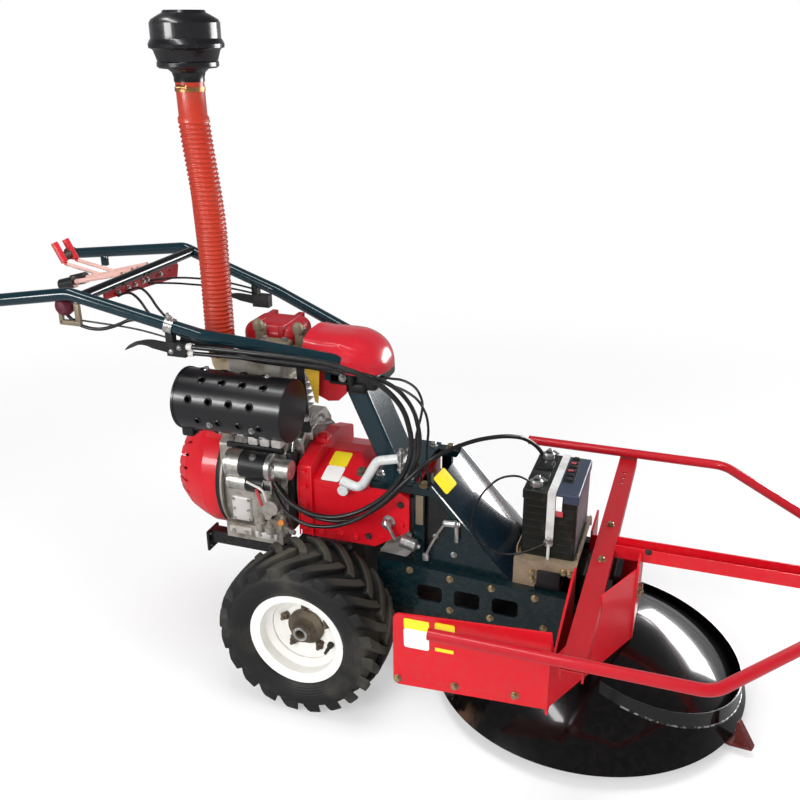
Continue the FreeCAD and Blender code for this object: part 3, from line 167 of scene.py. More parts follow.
for name, place, width, height, power, matt, gloss in (
    ("lamp_over", (0.2, -0.2, 3.9), 1.8, 1.8, 62, True, False),
    ("lamp_near", (-0.9, -3.6, 2.3), 2.0, 1.6, 100, True, False),
    ("lamp_front", (3.6, -1.6, 1.8), 0.5, 2.2, 42, True, False),
    ("lamp_behind", (-0.9, 3.1, 2.1), 2.0, 0.25, 10, True, False),
    ("gleam_near", (-1.85, -2.95, 1.75), 1.4, 0.6, 75, False, True),
    ("gleam_top", (-0.9, -0.9, 3.4), 3.2, 0.30, 44, False, True),
    ("gleam_ahead", (1.95, 2.5, 1.2), 1.9, 0.85, 95, False, True),
):
    light = bpy.data.lights.new(name, "AREA")
    light.shape, light.size, light.size_y, light.energy = "RECTANGLE", width, height, power
    lamp = link_to_scene(name, light)
    aim = (Vector((0.1, 0, 0.4)) - Vector(place)).to_track_quat("-Z", "Y")
    lamp.matrix_world = Matrix.Translation(place) @ aim.to_matrix().to_4x4()
    lamp.visible_camera, lamp.visible_diffuse, lamp.visible_glossy = False, matt, gloss

# ---------------- Tyres
# Two 16 x 6.50-8 tractor tyres: a black carcass, dull with dust, that carries a chevron of tall lugs. Each
# lug leaves the middle of the tread and trails towards its shoulder.
hub_low, hub_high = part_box("hub_right")
axle = Vector(((hub_low.x + hub_high.x) / 2, 0, (hub_low.z + hub_high.z) / 2))
SIDES = (("left", 1), ("right", -1))


def finish(name, look):
    """A material. look(place) gives its shader's inputs by name, with Height as its relief in metres."""
    material = bpy.data.materials.new(name)
    material.use_nodes = True
    tree = material.node_tree
    place = Shade(tree).node("TexCoord", output="Object")
    given = look(place)
    if "Height" in given:
        given["Normal"] = place.node("Bump", None, {"Height": given.pop("Height"), "Distance": 1.0})
    for name, value in given.items():
        socket = tree.nodes["Principled BSDF"].inputs[name]
        if isinstance(value, Shade):
            tree.links.new(value.socket, socket)
        else:
            socket.default_value = (*value, 1) if isinstance(value, tuple) else value
    return material


def piece(name, shape, material, body="chassis", instead=(), angle=35):
    """Turns a bmesh into a finished piece that rides on a body and stands for the CAD nodes named instead."""
    bmesh.ops.recalc_face_normals(shape, faces=shape.faces)
    mesh = bpy.data.meshes.new(name)
    shape.to_mesh(mesh)
    shape.free()
    mesh.polygons.foreach_set("use_smooth", [True] * len(mesh.polygons))
    mesh.set_sharp_from_angle(angle=math.radians(angle))
    mesh.materials.append(material)
    item = link_to_scene(name, mesh)
    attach(item, body)
    if instead:
        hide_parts(*instead)
    return item


def at(place):
    """A Vector as it is, or (forwards, left, up) with the first number counted from the axle."""
    return place if isinstance(place, Vector) else Vector((axle.x + place[0], place[1], place[2]))


def lathe(shape, outline, centre, axis, steps=64):
    """Adds an outline of (radius, along) corners, turned about an axis. It closes to a ring unless it meets
    the axis."""
    centre, axis = at(centre), Vector(axis).normalized()
    across = axis.orthogonal().normalized()
    corners = [shape.verts.new(centre + across * radius + axis * along) for radius, along in outline]
    edges = [shape.edges.new(pair) for pair in zip(corners, corners[1:])]
    if outline[0][0] > 0 and outline[-1][0] > 0:
        edges.append(shape.edges.new((corners[-1], corners[0])))
    bmesh.ops.spin(shape, geom=corners + edges, cent=centre, axis=axis, angle=math.tau, steps=steps,
                   use_merge=True)


def tread_rubber(place):
    blotch, grain = place.noise(7, 5), place.noise(260, 2)
    from_axle = place.node("VectorMath", {"operation": "MULTIPLY"}, {0: place, 1: (1, 0, 1)})
    from_axle = from_axle.node("VectorMath", {"operation": "DISTANCE"},
                               {0: from_axle, 1: (axle.x, 0, axle.z)}, output="Value")
    dust = blotch.rise(0.42, 0.68) * 0.55 + from_axle.rise(0.196, 0.204) * 0.35
    side_rings = from_axle.wave(160) * from_axle.rise(0.12, 0.13) * (1 - from_axle.rise(0.15, 0.16))
    return {"Base Color": dust.mix((0.009, 0.009, 0.009), (0.085, 0.077, 0.058)),
            "Roughness": dust * 0.25 + 0.58, "Specular IOR Level": 0.35,
            "Height": grain * 0.0004 + blotch * 0.0012 + side_rings * 0.0003}


rubber = finish("tread_rubber", tread_rubber)
LUGS = 20
for side, _ in SIDES:
    low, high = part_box(f"tyre_{side}")
    centre = (low + high) / 2
    reach, half = (high.z - low.z) / 2, (high.y - low.y) / 2
    base = reach - 0.018
    carcass = [(0.1175, half - 0.021), (0.1205, half - 0.012), (0.130, half - 0.006), (0.146, half - 0.001),
               (0.160, half), (0.171, half - 0.003), (base - 0.006, half - 0.011),
               (base - 0.002, half - 0.026), (base, half - 0.05)]
    inner = [(base - 0.016, half - 0.05), (0.160, half - 0.014), (0.130, half - 0.022)]
    ring = (carcass + [(radius, -along) for radius, along in reversed(carcass)]
            + [(radius, -along) for radius, along in reversed(inner)] + inner)
    tyre = bmesh.new()
    lathe(tyre, ring, centre, (0, 1, 0), 72)
    for flank in (-1, 1):
        lug = bmesh.new()
        bmesh.ops.create_cube(lug, size=1)
        lengthwise = [e for e in lug.edges if abs(e.verts[0].co.x - e.verts[1].co.x) > 0.5]
        bmesh.ops.subdivide_edges(lug, edges=lengthwise, cuts=6)
        for corner in lug.verts:
            along, top = corner.co.x + 0.5, corner.co.z > 0
            thick = (0.024 + 0.014 * along) * (0.82 if top else 1.12)
            swing = (-0.40 * along ** 1.25 + (0 if flank > 0 else math.pi / LUGS)
                     + corner.co.y * thick / reach)
            radius = reach - 0.008 * along ** 4 if top else base - 0.010 - 0.018 * along ** 5
            out = -0.006 + (half + 0.003 if top else half + 0.005) * along ** 0.95
            out = min(out, half - 0.005 if top else half - 0.0015)
            corner.co = centre + Vector((radius * math.sin(swing), flank * out, radius * math.cos(swing)))
        bmesh.ops.spin(lug, geom=lug.verts[:] + lug.edges[:] + lug.faces[:], cent=centre, axis=(0, 1, 0),
                       angle=math.tau * (LUGS - 1) / LUGS, steps=LUGS - 1, use_duplicate=True)
        row = bpy.data.meshes.new("lug_row")
        bmesh.ops.recalc_face_normals(lug, faces=lug.faces)
        bmesh.ops.bevel(lug, geom=[e for e in lug.edges if e.calc_face_angle(0) > 0.6], offset=0.002,
                        segments=2, profile=0.5, affect="EDGES", material=-1)
        lug.to_mesh(row)
        lug.free()
        tyre.from_mesh(row)
    piece(f"lugged_tyre_{side}", tyre, rubber, f"wheel_{side}", (f"tyre_{side}",), angle=50)

# ---------------- Rims and wheel bolts
# Pressed steel rims with a drop centre, in cream enamel that has grey streaks in its steps. Five studs with
# nuts hold each web to its cast hub, and a rubber valve stands in the outer barrel.


def enamel(place):
    cloud, speck = place.noise(9, 5), place.noise(120, 3)
    dirt = cloud.rise(0.5, 0.75) * 0.35 + speck.rise(0.62, 0.72) * 0.12
    return {"Base Color": dirt.mix((0.86, 0.85, 0.80), (0.44, 0.42, 0.37)), "Roughness": dirt * 0.4 + 0.3,
            "Coat Weight": 0.35, "Coat Roughness": 0.12, "Height": place.noise(240, 2) * 0.00012}


def rough_cast(colour, dust, rough=0.62, metal=0.35):
    """A cast surface: sand grain, blotches of dust and a dull sheen."""
    def look(place):
        cloud, sand = place.noise(13, 5), place.noise(420, 3)
        film = cloud.rise(0.4, 0.7)
        return {"Base Color": film.mix(colour, dust), "Metallic": 1 - film * 0.5 - (1 - metal),
                "Roughness": film * 0.2 + rough, "Height": sand * 0.0005 + cloud * 0.0008}
    return look


def plated(colour, rough=0.3):
    """Plated steel: bright, with faint clouds in the plating."""
    def look(place):
        cloud = place.noise(60, 3)
        tone = cloud.rise(0.35, 0.7).mix(colour, tuple(c * 0.6 for c in colour))
        return {"Base Color": tone, "Metallic": 0.9, "Roughness": cloud * 0.2 + rough - 0.1,
                "Height": place.noise(500, 2) * 0.00008}
    return look


rim_enamel = finish("rim_enamel", enamel)
hub_cast = finish("hub_cast", rough_cast((0.065, 0.048, 0.034), (0.15, 0.115, 0.08)))
zinc = finish("bolt_zinc", plated((0.62, 0.62, 0.60)))
brass_zinc = finish("yellow_zinc", plated((0.50, 0.40, 0.24), 0.4))


def coat(material, *names):
    """Gives CAD nodes a material."""
    for name in names:
        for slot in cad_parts[name].material_slots:
            slot.material = material


def add_bolt(shape, seat, out, across=0.013, washer=True, stud=0.0):
    """Adds a hexagon head, its washer and, with a stud, the thread that stands out of a nut."""
    place = Matrix.Translation(at(seat)) @ Vector(out).to_track_quat("Z", "Y").to_matrix().to_4x4()
    height, corner, base = across * 0.55, across * 0.577, 0.0

    def drum(sides, foot, top, depth, middle):
        bmesh.ops.create_cone(shape, cap_ends=True, segments=sides, radius1=foot, radius2=top, depth=depth,
                              matrix=place @ Matrix.Translation((0, 0, middle)))

    if washer:
        base = 0.0016
        drum(20, across * 0.78, across * 0.76, base, base / 2)
    drum(6, corner, corner, height * 0.8, base + height * 0.4)
    drum(6, corner, across * 0.46, height * 0.2, base + height * 0.9)
    if stud:
        drum(14, across * 0.3, across * 0.26, stud, base + height + stud / 2)


def bolts(name, seats, out, material=zinc, across=0.013, body="chassis", **kind):
    """One piece of like bolts, seated at points of a face that looks along out."""
    shape = bmesh.new()
    for seat in seats:
        add_bolt(shape, seat, out, across, **kind)
    return piece(name, shape, material, body, angle=25)


def ring(inner, outer, low, high):
    """The outline of a plain ring, or of a disc when its inner radius is 0."""
    return [(inner, low), (outer, low), (outer, high), (inner, high)]


def turned(name, outline, centre, axis, material, steps=24, body="chassis", angle=35):
    """One piece that is a single turned outline."""
    shape = bmesh.new()
    lathe(shape, outline, centre, axis, steps)
    return piece(name, shape, material, body, angle=angle)


AHEAD, UP, NEAR = (1, 0, 0), (0, 0, 1), (0, -1, 0)
coat(rim_enamel, "rim_left", "rim_right")
coat(hub_cast, "hub_left", "hub_right")
STUDS, STUD_CIRCLE = 5, 0.058
for side, out in SIDES:
    low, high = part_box(f"tyre_{side}")
    middle, wheel = (low.y + high.y) / 2, f"wheel_{side}"
    turns = [n * math.tau / STUDS for n in range(STUDS)]
    studs = [(STUD_CIRCLE * math.sin(turn), middle + out * 0.0062, axle.z + STUD_CIRCLE * math.cos(turn))
             for turn in turns]
    bolts(f"wheel_nuts_{side}", studs, (0, out, 0), hub_cast, 0.017, wheel, stud=0.009)
    turned(f"valve_{side}", [(0, 0), (0.008, 0), (0.0075, 0.008), (0.0045, 0.014), (0.0045, 0.026),
                             (0.0038, 0.027), (0.0038, 0.036), (0, 0.037)],
           (0.074, middle + out * 0.034, axle.z - 0.018), (0, out, 0), rubber, 16, wheel)
    hub_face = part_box(f"hub_{side}")[1 if out > 0 else 0].y
    turned(f"shaft_sleeve_{side}", [(0.012, 0), (0.018, 0), (0.018, 0.004), (0.016, 0.006), (0.012, 0.005)],
           (0, hub_face - out * 0.001, axle.z), (0, out, 0), zinc, 32, wheel)

# ---------------- Axle housing and gearbox
# The grey cast axle case hangs under the red gearbox. The gearbox is a thick aluminium casting in the
# machine's red, with a bolted joint at its back, where the clutch bell meets it, and plugs and bolts on
# both faces.


def paint(colour, rough=0.34, gloss=0.25, dust=0.22, shine=0.25, peel=0.00005):
    """Sprayed paint: a little orange peel, chips down to primer, and dust that settles low down."""
    def look(place):
        cloud, grain = place.noise(5, 5), place.noise(70, 4)
        low = 1 - place.axis("Z").rise(0.05, 0.7)
        film = (cloud.rise(0.46, 0.72) * 0.35 + low * 0.65) * grain.rise(0.35, 0.75) * dust
        chips = place.noise(55, 5, 0.7).rise(0.735, 0.75)
        tone = place.noise(2.1, 2).rise(0.3, 0.7).mix(colour, tuple(c * 0.88 for c in colour))
        tone = film.mix(tone, (0.17, 0.13, 0.10))
        return {"Base Color": chips.mix(tone, tuple(c * 0.35 + 0.01 for c in colour)),
                "Roughness": film * 0.5 + chips * 0.2 + rough, "Coat Weight": gloss, "Coat Roughness": 0.06,
                "Specular IOR Level": shine, "Height": place.noise(150, 2) * peel - chips * 0.00008}
    return look


red = finish("red_paint", paint((0.64, 0.004, 0.014)))
dark_red = finish("dark_red_paint", paint((0.36, 0.008, 0.014), 0.4, 0.15, 0.3))
black_paint = finish("black_paint", paint((0.006, 0.007, 0.008), 0.32, 0.3, 0.2))
dark_cast = finish("dark_cast", rough_cast((0.018, 0.017, 0.016), (0.06, 0.052, 0.042)))
coat(red, "gearbox")
coat(dark_cast, "axle_housing")


def add_block(shape, low, high, edge=0.003, segments=2):
    """Adds a box with rounded edges between two corners."""
    low, high = at(low), at(high)
    corners = bmesh.ops.create_cube(shape, size=1)["verts"]
    bmesh.ops.scale(shape, vec=high - low, verts=corners)
    bmesh.ops.translate(shape, vec=(low + high) / 2, verts=corners)
    bmesh.ops.bevel(shape, geom=list({e for v in corners for e in v.link_edges}), offset=edge,
                    segments=segments, profile=0.5, affect="EDGES", material=-1)


def blocks(name, boxes, material):
    """One piece of rounded boxes, each with its two corners and what else add_block takes."""
    shape = bmesh.new()
    for box in boxes:
        add_block(shape, *box)
    return piece(name, shape, material)


def wire(name, points, radius, material=zinc):
    """A rod, wire or cable that runs smoothly by its points."""
    data = bpy.data.curves.new(name, "CURVE")
    data.dimensions, data.bevel_depth, data.bevel_resolution, data.resolution_u = "3D", radius, 3, 6
    data.use_fill_caps = True
    line = data.splines.new("NURBS")
    line.points.add(len(points) - 1)
    for knot, point in zip(line.points, points):
        knot.co = (*at(point), 1)
    line.order_u, line.use_endpoint_u = min(3, len(points)), True
    data.materials.append(material)
    item = link_to_scene(name, data)
    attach(item, "chassis")
    return item


low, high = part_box("gearbox")
case_half, case_low = high.y - 0.007, low.z
roof_low, roof_slope = case_low + 0.160, Vector((0, 0.102, 0.033)).normalized()
roof_out = Vector(AHEAD).cross(roof_slope)
for side, out in SIDES:
    face = out * (case_half + 0.0004)
    painted = [(x, face, case_low + 0.019) for x in (-0.02, 0.03, 0.07)] + [(0.186, face, case_low + 0.075)]
    bolts(f"gearbox_bolts_{side}", painted, (0, out, 0), red, 0.012)
    bare = [(0.102, face, case_low + 0.026), (0.184, face, case_low + 0.125)]
    bolts(f"gearbox_face_bolts_{side}", bare, (0, out, 0), dark_cast, 0.011)
    lip = [(-0.059, out * (case_half + 0.0072), case_low + rise) for rise in (0.03, 0.085, 0.14, 0.178)]
    bolts(f"bell_bolts_{side}", lip, (0, out, 0), red, 0.011)
blocks("joint_flange_edges", [((x, side * (case_half + 0.0065), case_low + 0.002),
                               (x_end, side * (case_half + 0.0090), case_low + 0.190), 0.0010)
                              for side in (-1, 1) for x, x_end in ((-0.046, -0.041), (-0.079, -0.075))],
       red)
turned("oil_plug", [(0, 0), (0.016, 0), (0.016, 0.004), (0.012, 0.006), (0.012, 0.012), (0.009, 0.015),
                    (0, 0.016)],
       at((0.072, -0.088, roof_low + 0.036 * 0.33)) - roof_out * 0.001, roof_out, hub_cast, steps=6, angle=20)
lug = bmesh.new()
add_block(lug, (-0.070, -0.052, high.z - 0.004), (-0.036, -0.012, high.z + 0.013), 0.005)
lathe(lug, [(0, 0), (0.013, 0), (0.013, 0.006), (0.008, 0.009), (0, 0.010)], (-0.053, -0.032, high.z + 0.012),
      UP, 24)
piece("gearbox_lifting_lug", lug, red)
ball = at((0.154, -case_half - 0.014, case_low + 0.076))
turned("selector_ball", [(0, -0.015), (0.016, -0.015), (0.016, -0.011), (0.008, -0.009), (0.008, -0.006),
                         (0.0125, 0.0), (0.0115, 0.006), (0.007, 0.010), (0, 0.012)],
       ball, NEAR, zinc, steps=28)
wire("selector_tail", [ball, ball + Vector((0.010, -0.005, -0.014)), ball + Vector((0.022, -0.008, -0.034))],
     0.0048)

# ---------------- Stickers on the gearbox
# A thin vinyl label with rounded corners and nothing printed on it, yellow above and white below. It lies
# on the near slope of the gearbox.


def vinyl(colour):
    def look(place):
        scuff = place.noise(80, 5)
        return {"Base Color": scuff.rise(0.5, 0.8).mix(colour, tuple(c * 0.86 for c in colour)),
                "Roughness": scuff * 0.2 + 0.3, "Coat Weight": 0.1}
    return look


yellow_vinyl = finish("yellow_vinyl", vinyl((0.88, 0.70, 0.01)))
white_vinyl = finish("white_vinyl", vinyl((0.84, 0.84, 0.82)))


def label(name, centre, across, up, width, height, material, round_by=0.0):
    """A rounded sheet of vinyl on a panel, with its width along across and its height along up. On a round
    panel it bends about up, with the panel's radius in round_by."""
    shape = bmesh.new()
    bmesh.ops.create_grid(shape, x_segments=1, y_segments=1, size=0.5)
    bmesh.ops.scale(shape, vec=(width, height, 1), verts=shape.verts)
    bmesh.ops.bevel(shape, geom=shape.verts[:], offset=min(width, height) * 0.12, segments=4, profile=0.5,
                    affect="VERTICES", material=-1)
    if round_by:
        for n in range(-3, 4):
            bmesh.ops.bisect_plane(shape, geom=shape.verts[:] + shape.edges[:] + shape.faces[:],
                                   plane_co=(n * width / 8, 0, 0), plane_no=(1, 0, 0))
        for corner in shape.verts:
            corner.co.z -= corner.co.x ** 2 / (2 * round_by)
    across, up = Vector(across).normalized(), Vector(up).normalized()
    turn_to = Matrix((across, up, across.cross(up))).transposed().to_4x4()
    bmesh.ops.solidify(shape, geom=shape.faces[:], thickness=-0.0004)
    bmesh.ops.transform(shape, matrix=Matrix.Translation(at(centre)) @ turn_to, verts=shape.verts)
    return piece(name, shape, material)


label_middle = at((0.0025, -0.080, roof_low + 0.044 * 0.33)) + roof_out * 0.0006
for name, rise, material in (("yellow", 0.026, yellow_vinyl), ("white", -0.026, white_vinyl)):
    centre = label_middle + roof_slope * rise
    label(f"gearbox_label_{name}", centre, AHEAD, roof_slope, 0.047, 0.052, material)

# ---------------- Engine
# A single-cylinder air-cooled diesel: a bright die-cast crankcase with its covers and pump, a finned
# cylinder, and a red pressed fan housing that closes on a cast back plate over a rubber strip.
engine_alloy = finish("engine_alloy", rough_cast((0.50, 0.47, 0.42), (0.14, 0.115, 0.085), 0.40, 0.75))
pale_cast = finish("pale_cast", rough_cast((0.62, 0.59, 0.57), (0.36, 0.32, 0.28), 0.55, 0.4))
brown_cast = finish("brown_cast", rough_cast((0.24, 0.19, 0.13), (0.15, 0.12, 0.08), 0.5, 0.5))
coat(engine_alloy, "engine_block", "cylinder_head")
coat(finish("bell_cast", rough_cast((0.12, 0.11, 0.10), (0.05, 0.04, 0.03), 0.5, 0.6)), "clutch_housing")
coat(red, "fan_shroud")


def moulded(colour, rough=0.45, dust=(0.10, 0.09, 0.08), gloss=0.0):
    """Moulded plastic or rubber: a fine grain and a bloom of dust."""
    def look(place):
        cloud = place.noise(14, 5)
        film = cloud.rise(0.5, 0.8) * 0.3
        return {"Base Color": film.mix(colour, dust), "Roughness": film * 0.5 + rough, "Coat Weight": gloss,
                "Specular IOR Level": 0.35, "Height": place.noise(500, 2) * 0.0001}
    return look


black_plastic = finish("black_plastic", moulded((0.008, 0.008, 0.009)))
orange_plastic = finish("orange_plastic", moulded((0.75, 0.24, 0.03)))
blue_plastic = finish("blue_plastic", moulded((0.02, 0.06, 0.16)))
fan_middle = Vector((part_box("fan_shroud")[1].x, 0, 0.448))
turned("shroud_back_plate", [(0.147, 0), (0.158, 0), (0.159, 0.002), (0.159, 0.006), (0.147, 0.006)],
       fan_middle, AHEAD, engine_alloy, 96, angle=40)
turned("shroud_rubber_strip", [(0.150, -0.013), (0.1552, -0.013), (0.157, -0.010), (0.157, 0), (0.150, 0)],
       fan_middle, AHEAD, black_plastic, 96, angle=40)
ports = [((-0.2 + n * 0.031, -0.151, 0.587), (-0.174 + n * 0.031, -0.108, 0.612), 0.004) for n in range(3)]
blocks("engine_covers", [((-0.254, -0.158, 0.376), (-0.200, -0.138, 0.444), 0.006, 3), *ports,
                         ((-0.264, -0.160, 0.339), (-0.202, -0.138, 0.360), 0.004),
                         ((-0.192, -0.162, 0.337), (-0.130, -0.138, 0.356), 0.004)], pale_cast)
bolts("engine_base_bolts", [(x, -0.1612, 0.348) for x in (-0.250, -0.216, -0.178, -0.144)], NEAR,
      across=0.009, washer=False)
bolts("engine_cover_bolts", [(x, -0.158, z) for x in (-0.247, -0.207) for z in (0.383, 0.410, 0.437)],
      NEAR, across=0.007, washer=False)
bolts("engine_shoulder_bolt", [(x, -0.124, 0.580) for x in (-0.218, -0.258)], (0, -0.76, 0.65), across=0.018)
bolts("engine_foot_bolts", [(x, y, 0.367) for x in (-0.262, -0.128) for y in (-0.132, 0.132)], UP)
lumps = bmesh.new()
for x, y, z, radius, tall in ((-0.176, -0.150, 0.352, 0.014, 0.052), (-0.146, -0.158, 0.358, 0.017, 0.034),
                              (-0.118, -0.148, 0.350, 0.012, 0.060), (-0.192, -0.144, 0.360, 0.009, 0.060)):
    lathe(lumps, [(0, 0), (radius * 0.8, 0), (radius, 0.004), (radius, tall * 0.55),
                  (radius * 0.7, tall * 0.6), (radius * 0.7, tall * 0.85), (radius * 0.45, tall * 0.9),
                  (radius * 0.45, tall), (0, tall)],
          (x, y, z), UP, 24)
add_block(lumps, (-0.190, -0.156, 0.350), (-0.108, -0.136, 0.372), 0.004)
piece("injection_pump", lumps, engine_alloy)
turned("pump_cap", [(0, 0), (0.007, 0), (0.008, 0.003), (0.008, 0.014), (0.006, 0.016), (0, 0.016)],
       (-0.122, -0.150, 0.385), (0.3, -0.8, 0.45), orange_plastic, 20)
turned("fuel_union", [(0, 0), (0.009, 0), (0.009, 0.010), (0.006, 0.012), (0.006, 0.026), (0, 0.028)],
       (-0.108, -0.150, 0.368), (1, -0.3, 0), zinc, steps=6, angle=20)
# Painted shade: black blocks in the gaps round the starter and the pump stand in for the shade there.
blocks("engine_shade_blocks", [((-0.196, -0.186, 0.507), (-0.152, -0.150, 0.524), 0.004),
                           ((-0.146, -0.180, 0.486), (-0.124, -0.150, 0.512), 0.004),
                           ((-0.262, -0.146, 0.570), (-0.110, -0.136, 0.584), 0.003),
                           ((-0.106, -0.140, 0.395), (-0.086, -0.110, 0.575), 0.004)],
       black_plastic)
blocks("starter_connector", [((-0.101, -0.168, 0.520), (-0.080, -0.146, 0.566), 0.006)], blue_plastic)
wire("injector_pipe", [(-0.118, -0.148, 0.405), (-0.108, -0.158, 0.470), (-0.092, -0.140, 0.540),
                       (-0.094, -0.112, 0.610), (-0.112, -0.090, 0.680), (-0.140, -0.070, 0.745)], 0.003)
for n, ends in enumerate((((-0.088, -0.104, 0.580), (-0.022, -0.100, 0.668)),
                          ((-0.076, -0.112, 0.586), (-0.046, -0.104, 0.672)),
                          ((-0.060, -0.100, 0.640), (0.000, -0.096, 0.652)))):
    wire(f"governor_rod_{n}", ends, 0.0035)
linkage = bmesh.new()
for seat in ((-0.088, -0.106, 0.578), (-0.024, -0.102, 0.664), (-0.058, -0.100, 0.642)):
    add_bolt(linkage, seat, NEAR, 0.014)
add_block(linkage, (-0.098, -0.106, 0.560), (-0.074, -0.098, 0.600), 0.002)
add_block(linkage, (-0.066, -0.102, 0.600), (-0.050, -0.096, 0.650), 0.002)
piece("governor_bracket", linkage, zinc, angle=25)

# ---------------- Starter
# An electric motor with a bright body and a dark band, over the shorter solenoid with its black cap. Two
# leads leave it.
copper_red = finish("copper_red", moulded((0.42, 0.05, 0.06)))
pale_lead = finish("pale_lead", moulded((0.62, 0.58, 0.55)))
coat(finish("starter_silver", plated((0.58, 0.56, 0.52), 0.42)), "starter_motor")
motor = at((-0.240, -0.1732, 0.548))
solenoid = motor + Vector((0, 0.002, -0.050))
dark = bmesh.new()
lathe(dark, ring(0.030, 0.0338, 0.038, 0.106), motor, AHEAD)
lathe(dark, [(0, 0.045), (0.0215, 0.045), (0.0232, 0.048), (0.0232, 0.092), (0.018, 0.098), (0.018, 0.112),
             (0.010, 0.114), (0, 0.114)], solenoid, AHEAD, 48)
piece("starter_band", dark, black_plastic, angle=40)
bright = bmesh.new()
lathe(bright, ring(0.030, 0.0343, 0, 0.006), motor, AHEAD)
lathe(bright, [(0.030, 0.113), (0.0345, 0.113), (0.0345, 0.119), (0.026, 0.1225), (0, 0.1225)], motor, AHEAD)
lathe(bright, [(0, -0.006), (0.020, -0.006), (0.0232, -0.002), (0.0232, 0.006), (0.0215, 0.006)], solenoid,
      AHEAD, 48)
add_bolt(bright, motor + Vector((0.074, -0.0195, 0.0285)), (0, -0.56, 0.83), 0.012)
for lean in (-0.6, 0.5):
    add_bolt(bright, motor + Vector((0.1225, -0.024 * math.cos(lean), 0.024 * math.sin(lean))), AHEAD, 0.009)
piece("starter_ends", bright, zinc, angle=30)
wire("starter_lead_pale", [(-0.186, -0.194, 0.510), (-0.164, -0.202, 0.508), (-0.146, -0.204, 0.504),
                           (-0.136, -0.202, 0.492), (-0.135, -0.198, 0.468)], 0.0032, pale_lead)
wire("starter_lead_red", [(-0.160, -0.196, 0.496), (-0.153, -0.200, 0.478), (-0.147, -0.198, 0.454)], 0.0045,
     copper_red)

# ---------------- Silencer
# A rolled can in heat-proof black, pierced with rows of holes that have turned-out lips. Its ends are
# folded, and bright screws and a clip hold it.
heat_black = finish("heat_black", paint((0.003, 0.003, 0.004), 0.33, 0.1, 0.08, 0.5))
coat(heat_black, "muffler")
low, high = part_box("muffler")
can_radius = (high.z - low.z) / 2
can = Vector((low.x, low.y + can_radius, low.z + can_radius))


def on_can(along, degrees):
    """A place on the can, so many degrees from its near side towards its top, and the way out of it."""
    lean = math.radians(degrees)
    out = Vector((0, -math.cos(lean), math.sin(lean)))
    return can + Vector((along, 0, 0)) + out * can_radius, out


screws = bmesh.new()
for along, degrees, across in ((0.054, 98, 0.010), (0.211, 98, 0.010), (0.096, -26, 0.010),
                               (0.203, -26, 0.010), (0.111, -52, 0.007)):
    add_bolt(screws, *on_can(along, degrees), across)
for along in (0.163, 0.219):
    foot = on_can(along, math.degrees(-0.85))[0]
    add_block(screws, foot - Vector((0.008, 0.002, 0.003)), foot + Vector((0.008, 0.002, 0.003)), 0.001)
piece("muffler_screws", screws, zinc, angle=25)
folds = bmesh.new()
for start in (0.001, high.x - low.x - 0.007):
    fold = ring(can_radius - 0.004, can_radius + 0.0014, 0, 0.006)
    lathe(folds, fold, can + Vector((start, 0, 0)), AHEAD, 72)
add_block(folds, can + Vector((0.002, -0.040, -0.084)), can + Vector((0.034, -0.006, -0.050)), 0.006)
ROWS, HOLES, HOLE_PITCH = 5, 4, 0.052
for row in range(ROWS):
    for hole in range(HOLES):
        spot, out = on_can(0.046 + (hole + 0.4 * (row % 2)) * HOLE_PITCH, 40 * row - 60)
        lathe(folds, [(0.0064, -0.0012), (0.0110, -0.0012), (0.0100, 0.0010), (0.0082, 0.0022),
                      (0.0064, 0.0016)], spot, out, 20)
piece("muffler_folds", folds, heat_black)

# ---------------- Fuel tank and head covers
# A pressed red tank, held down by two straps. In front of it stand the rocker cover and two brown cast
# fittings with their bolts.
coat(dark_red, "fuel_tank")
low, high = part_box("fuel_tank")
casts = bmesh.new()
add_block(casts, (-0.222, -0.080, 0.770), (-0.104, -0.018, 0.812), 0.014, 4)
add_block(casts, (-0.206, -0.072, 0.806), (-0.122, -0.026, 0.826), 0.010, 3)
for x in (-0.214, -0.108):
    add_block(casts, (x - 0.013, -0.030, 0.800), (x + 0.013, low.y + 0.001, 0.856), 0.006, 3)
    lathe(casts, [(0, 0), (0.013, 0), (0.013, 0.016), (0.009, 0.022), (0, 0.024)], (x, -0.032, 0.846),
          (0, -0.3, 1), 24)
piece("head_fittings", casts, brown_cast)
blocks("tank_straps", [(Vector((x - 0.008, low.y - 0.0016, low.z + 0.02)),
                        Vector((x + 0.008, high.y + 0.0016, high.z + 0.0016)), 0.0015)
                       for x in (low.x + 0.036, high.x - 0.036)], dark_red)
bolts("head_bolts", [(x, -0.049, 0.826) for x in (-0.190, -0.138)], UP, across=0.012)

# ---------------- Raised air intake
# A ribbed orange hose lifts the intake over the dust. A worm clamp holds it on a moulded elbow below, its
# smooth cuff holds the black pre-cleaner above.
hose_orange = finish("hose_orange", moulded((0.43, 0.030, 0.012), 0.36, (0.26, 0.08, 0.04), 0.15))
clamp_brass = finish("clamp_brass", plated((0.50, 0.26, 0.10), 0.4))
gloss_plastic = finish("gloss_plastic", moulded((0.006, 0.006, 0.007), 0.26, (0.05, 0.05, 0.05), 0.3))
coat(finish("elbow_cream", moulded((0.42, 0.33, 0.21), 0.5, (0.20, 0.15, 0.09))), "intake_elbow")
low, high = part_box("pre_cleaner")
bowl = bmesh.new()
lathe(bowl, [(0, 0.0005), (0.034, 0.0005), (0.034, 0.010), (0.037, 0.020), (0.045, 0.027), (0.063, 0.029),
             (0.068, 0.033), (0.068, 0.041), (0.066, 0.044), (0.073, 0.066), (0.076, 0.069), (0.082, 0.071),
             (0.083, 0.079), (0.079, 0.087), (0.0765, 0.090), (0.0765, 0.122), (0.072, 0.129), (0.058, 0.137),
             (0.048, 0.142), (0.045, 0.1475), (0, 0.1478)],
      Vector(((low.x + high.x) / 2, (low.y + high.y) / 2, low.z)), UP, 72)
piece("pre_cleaner_bowl", bowl, gloss_plastic, instead=("pre_cleaner",), angle=28)
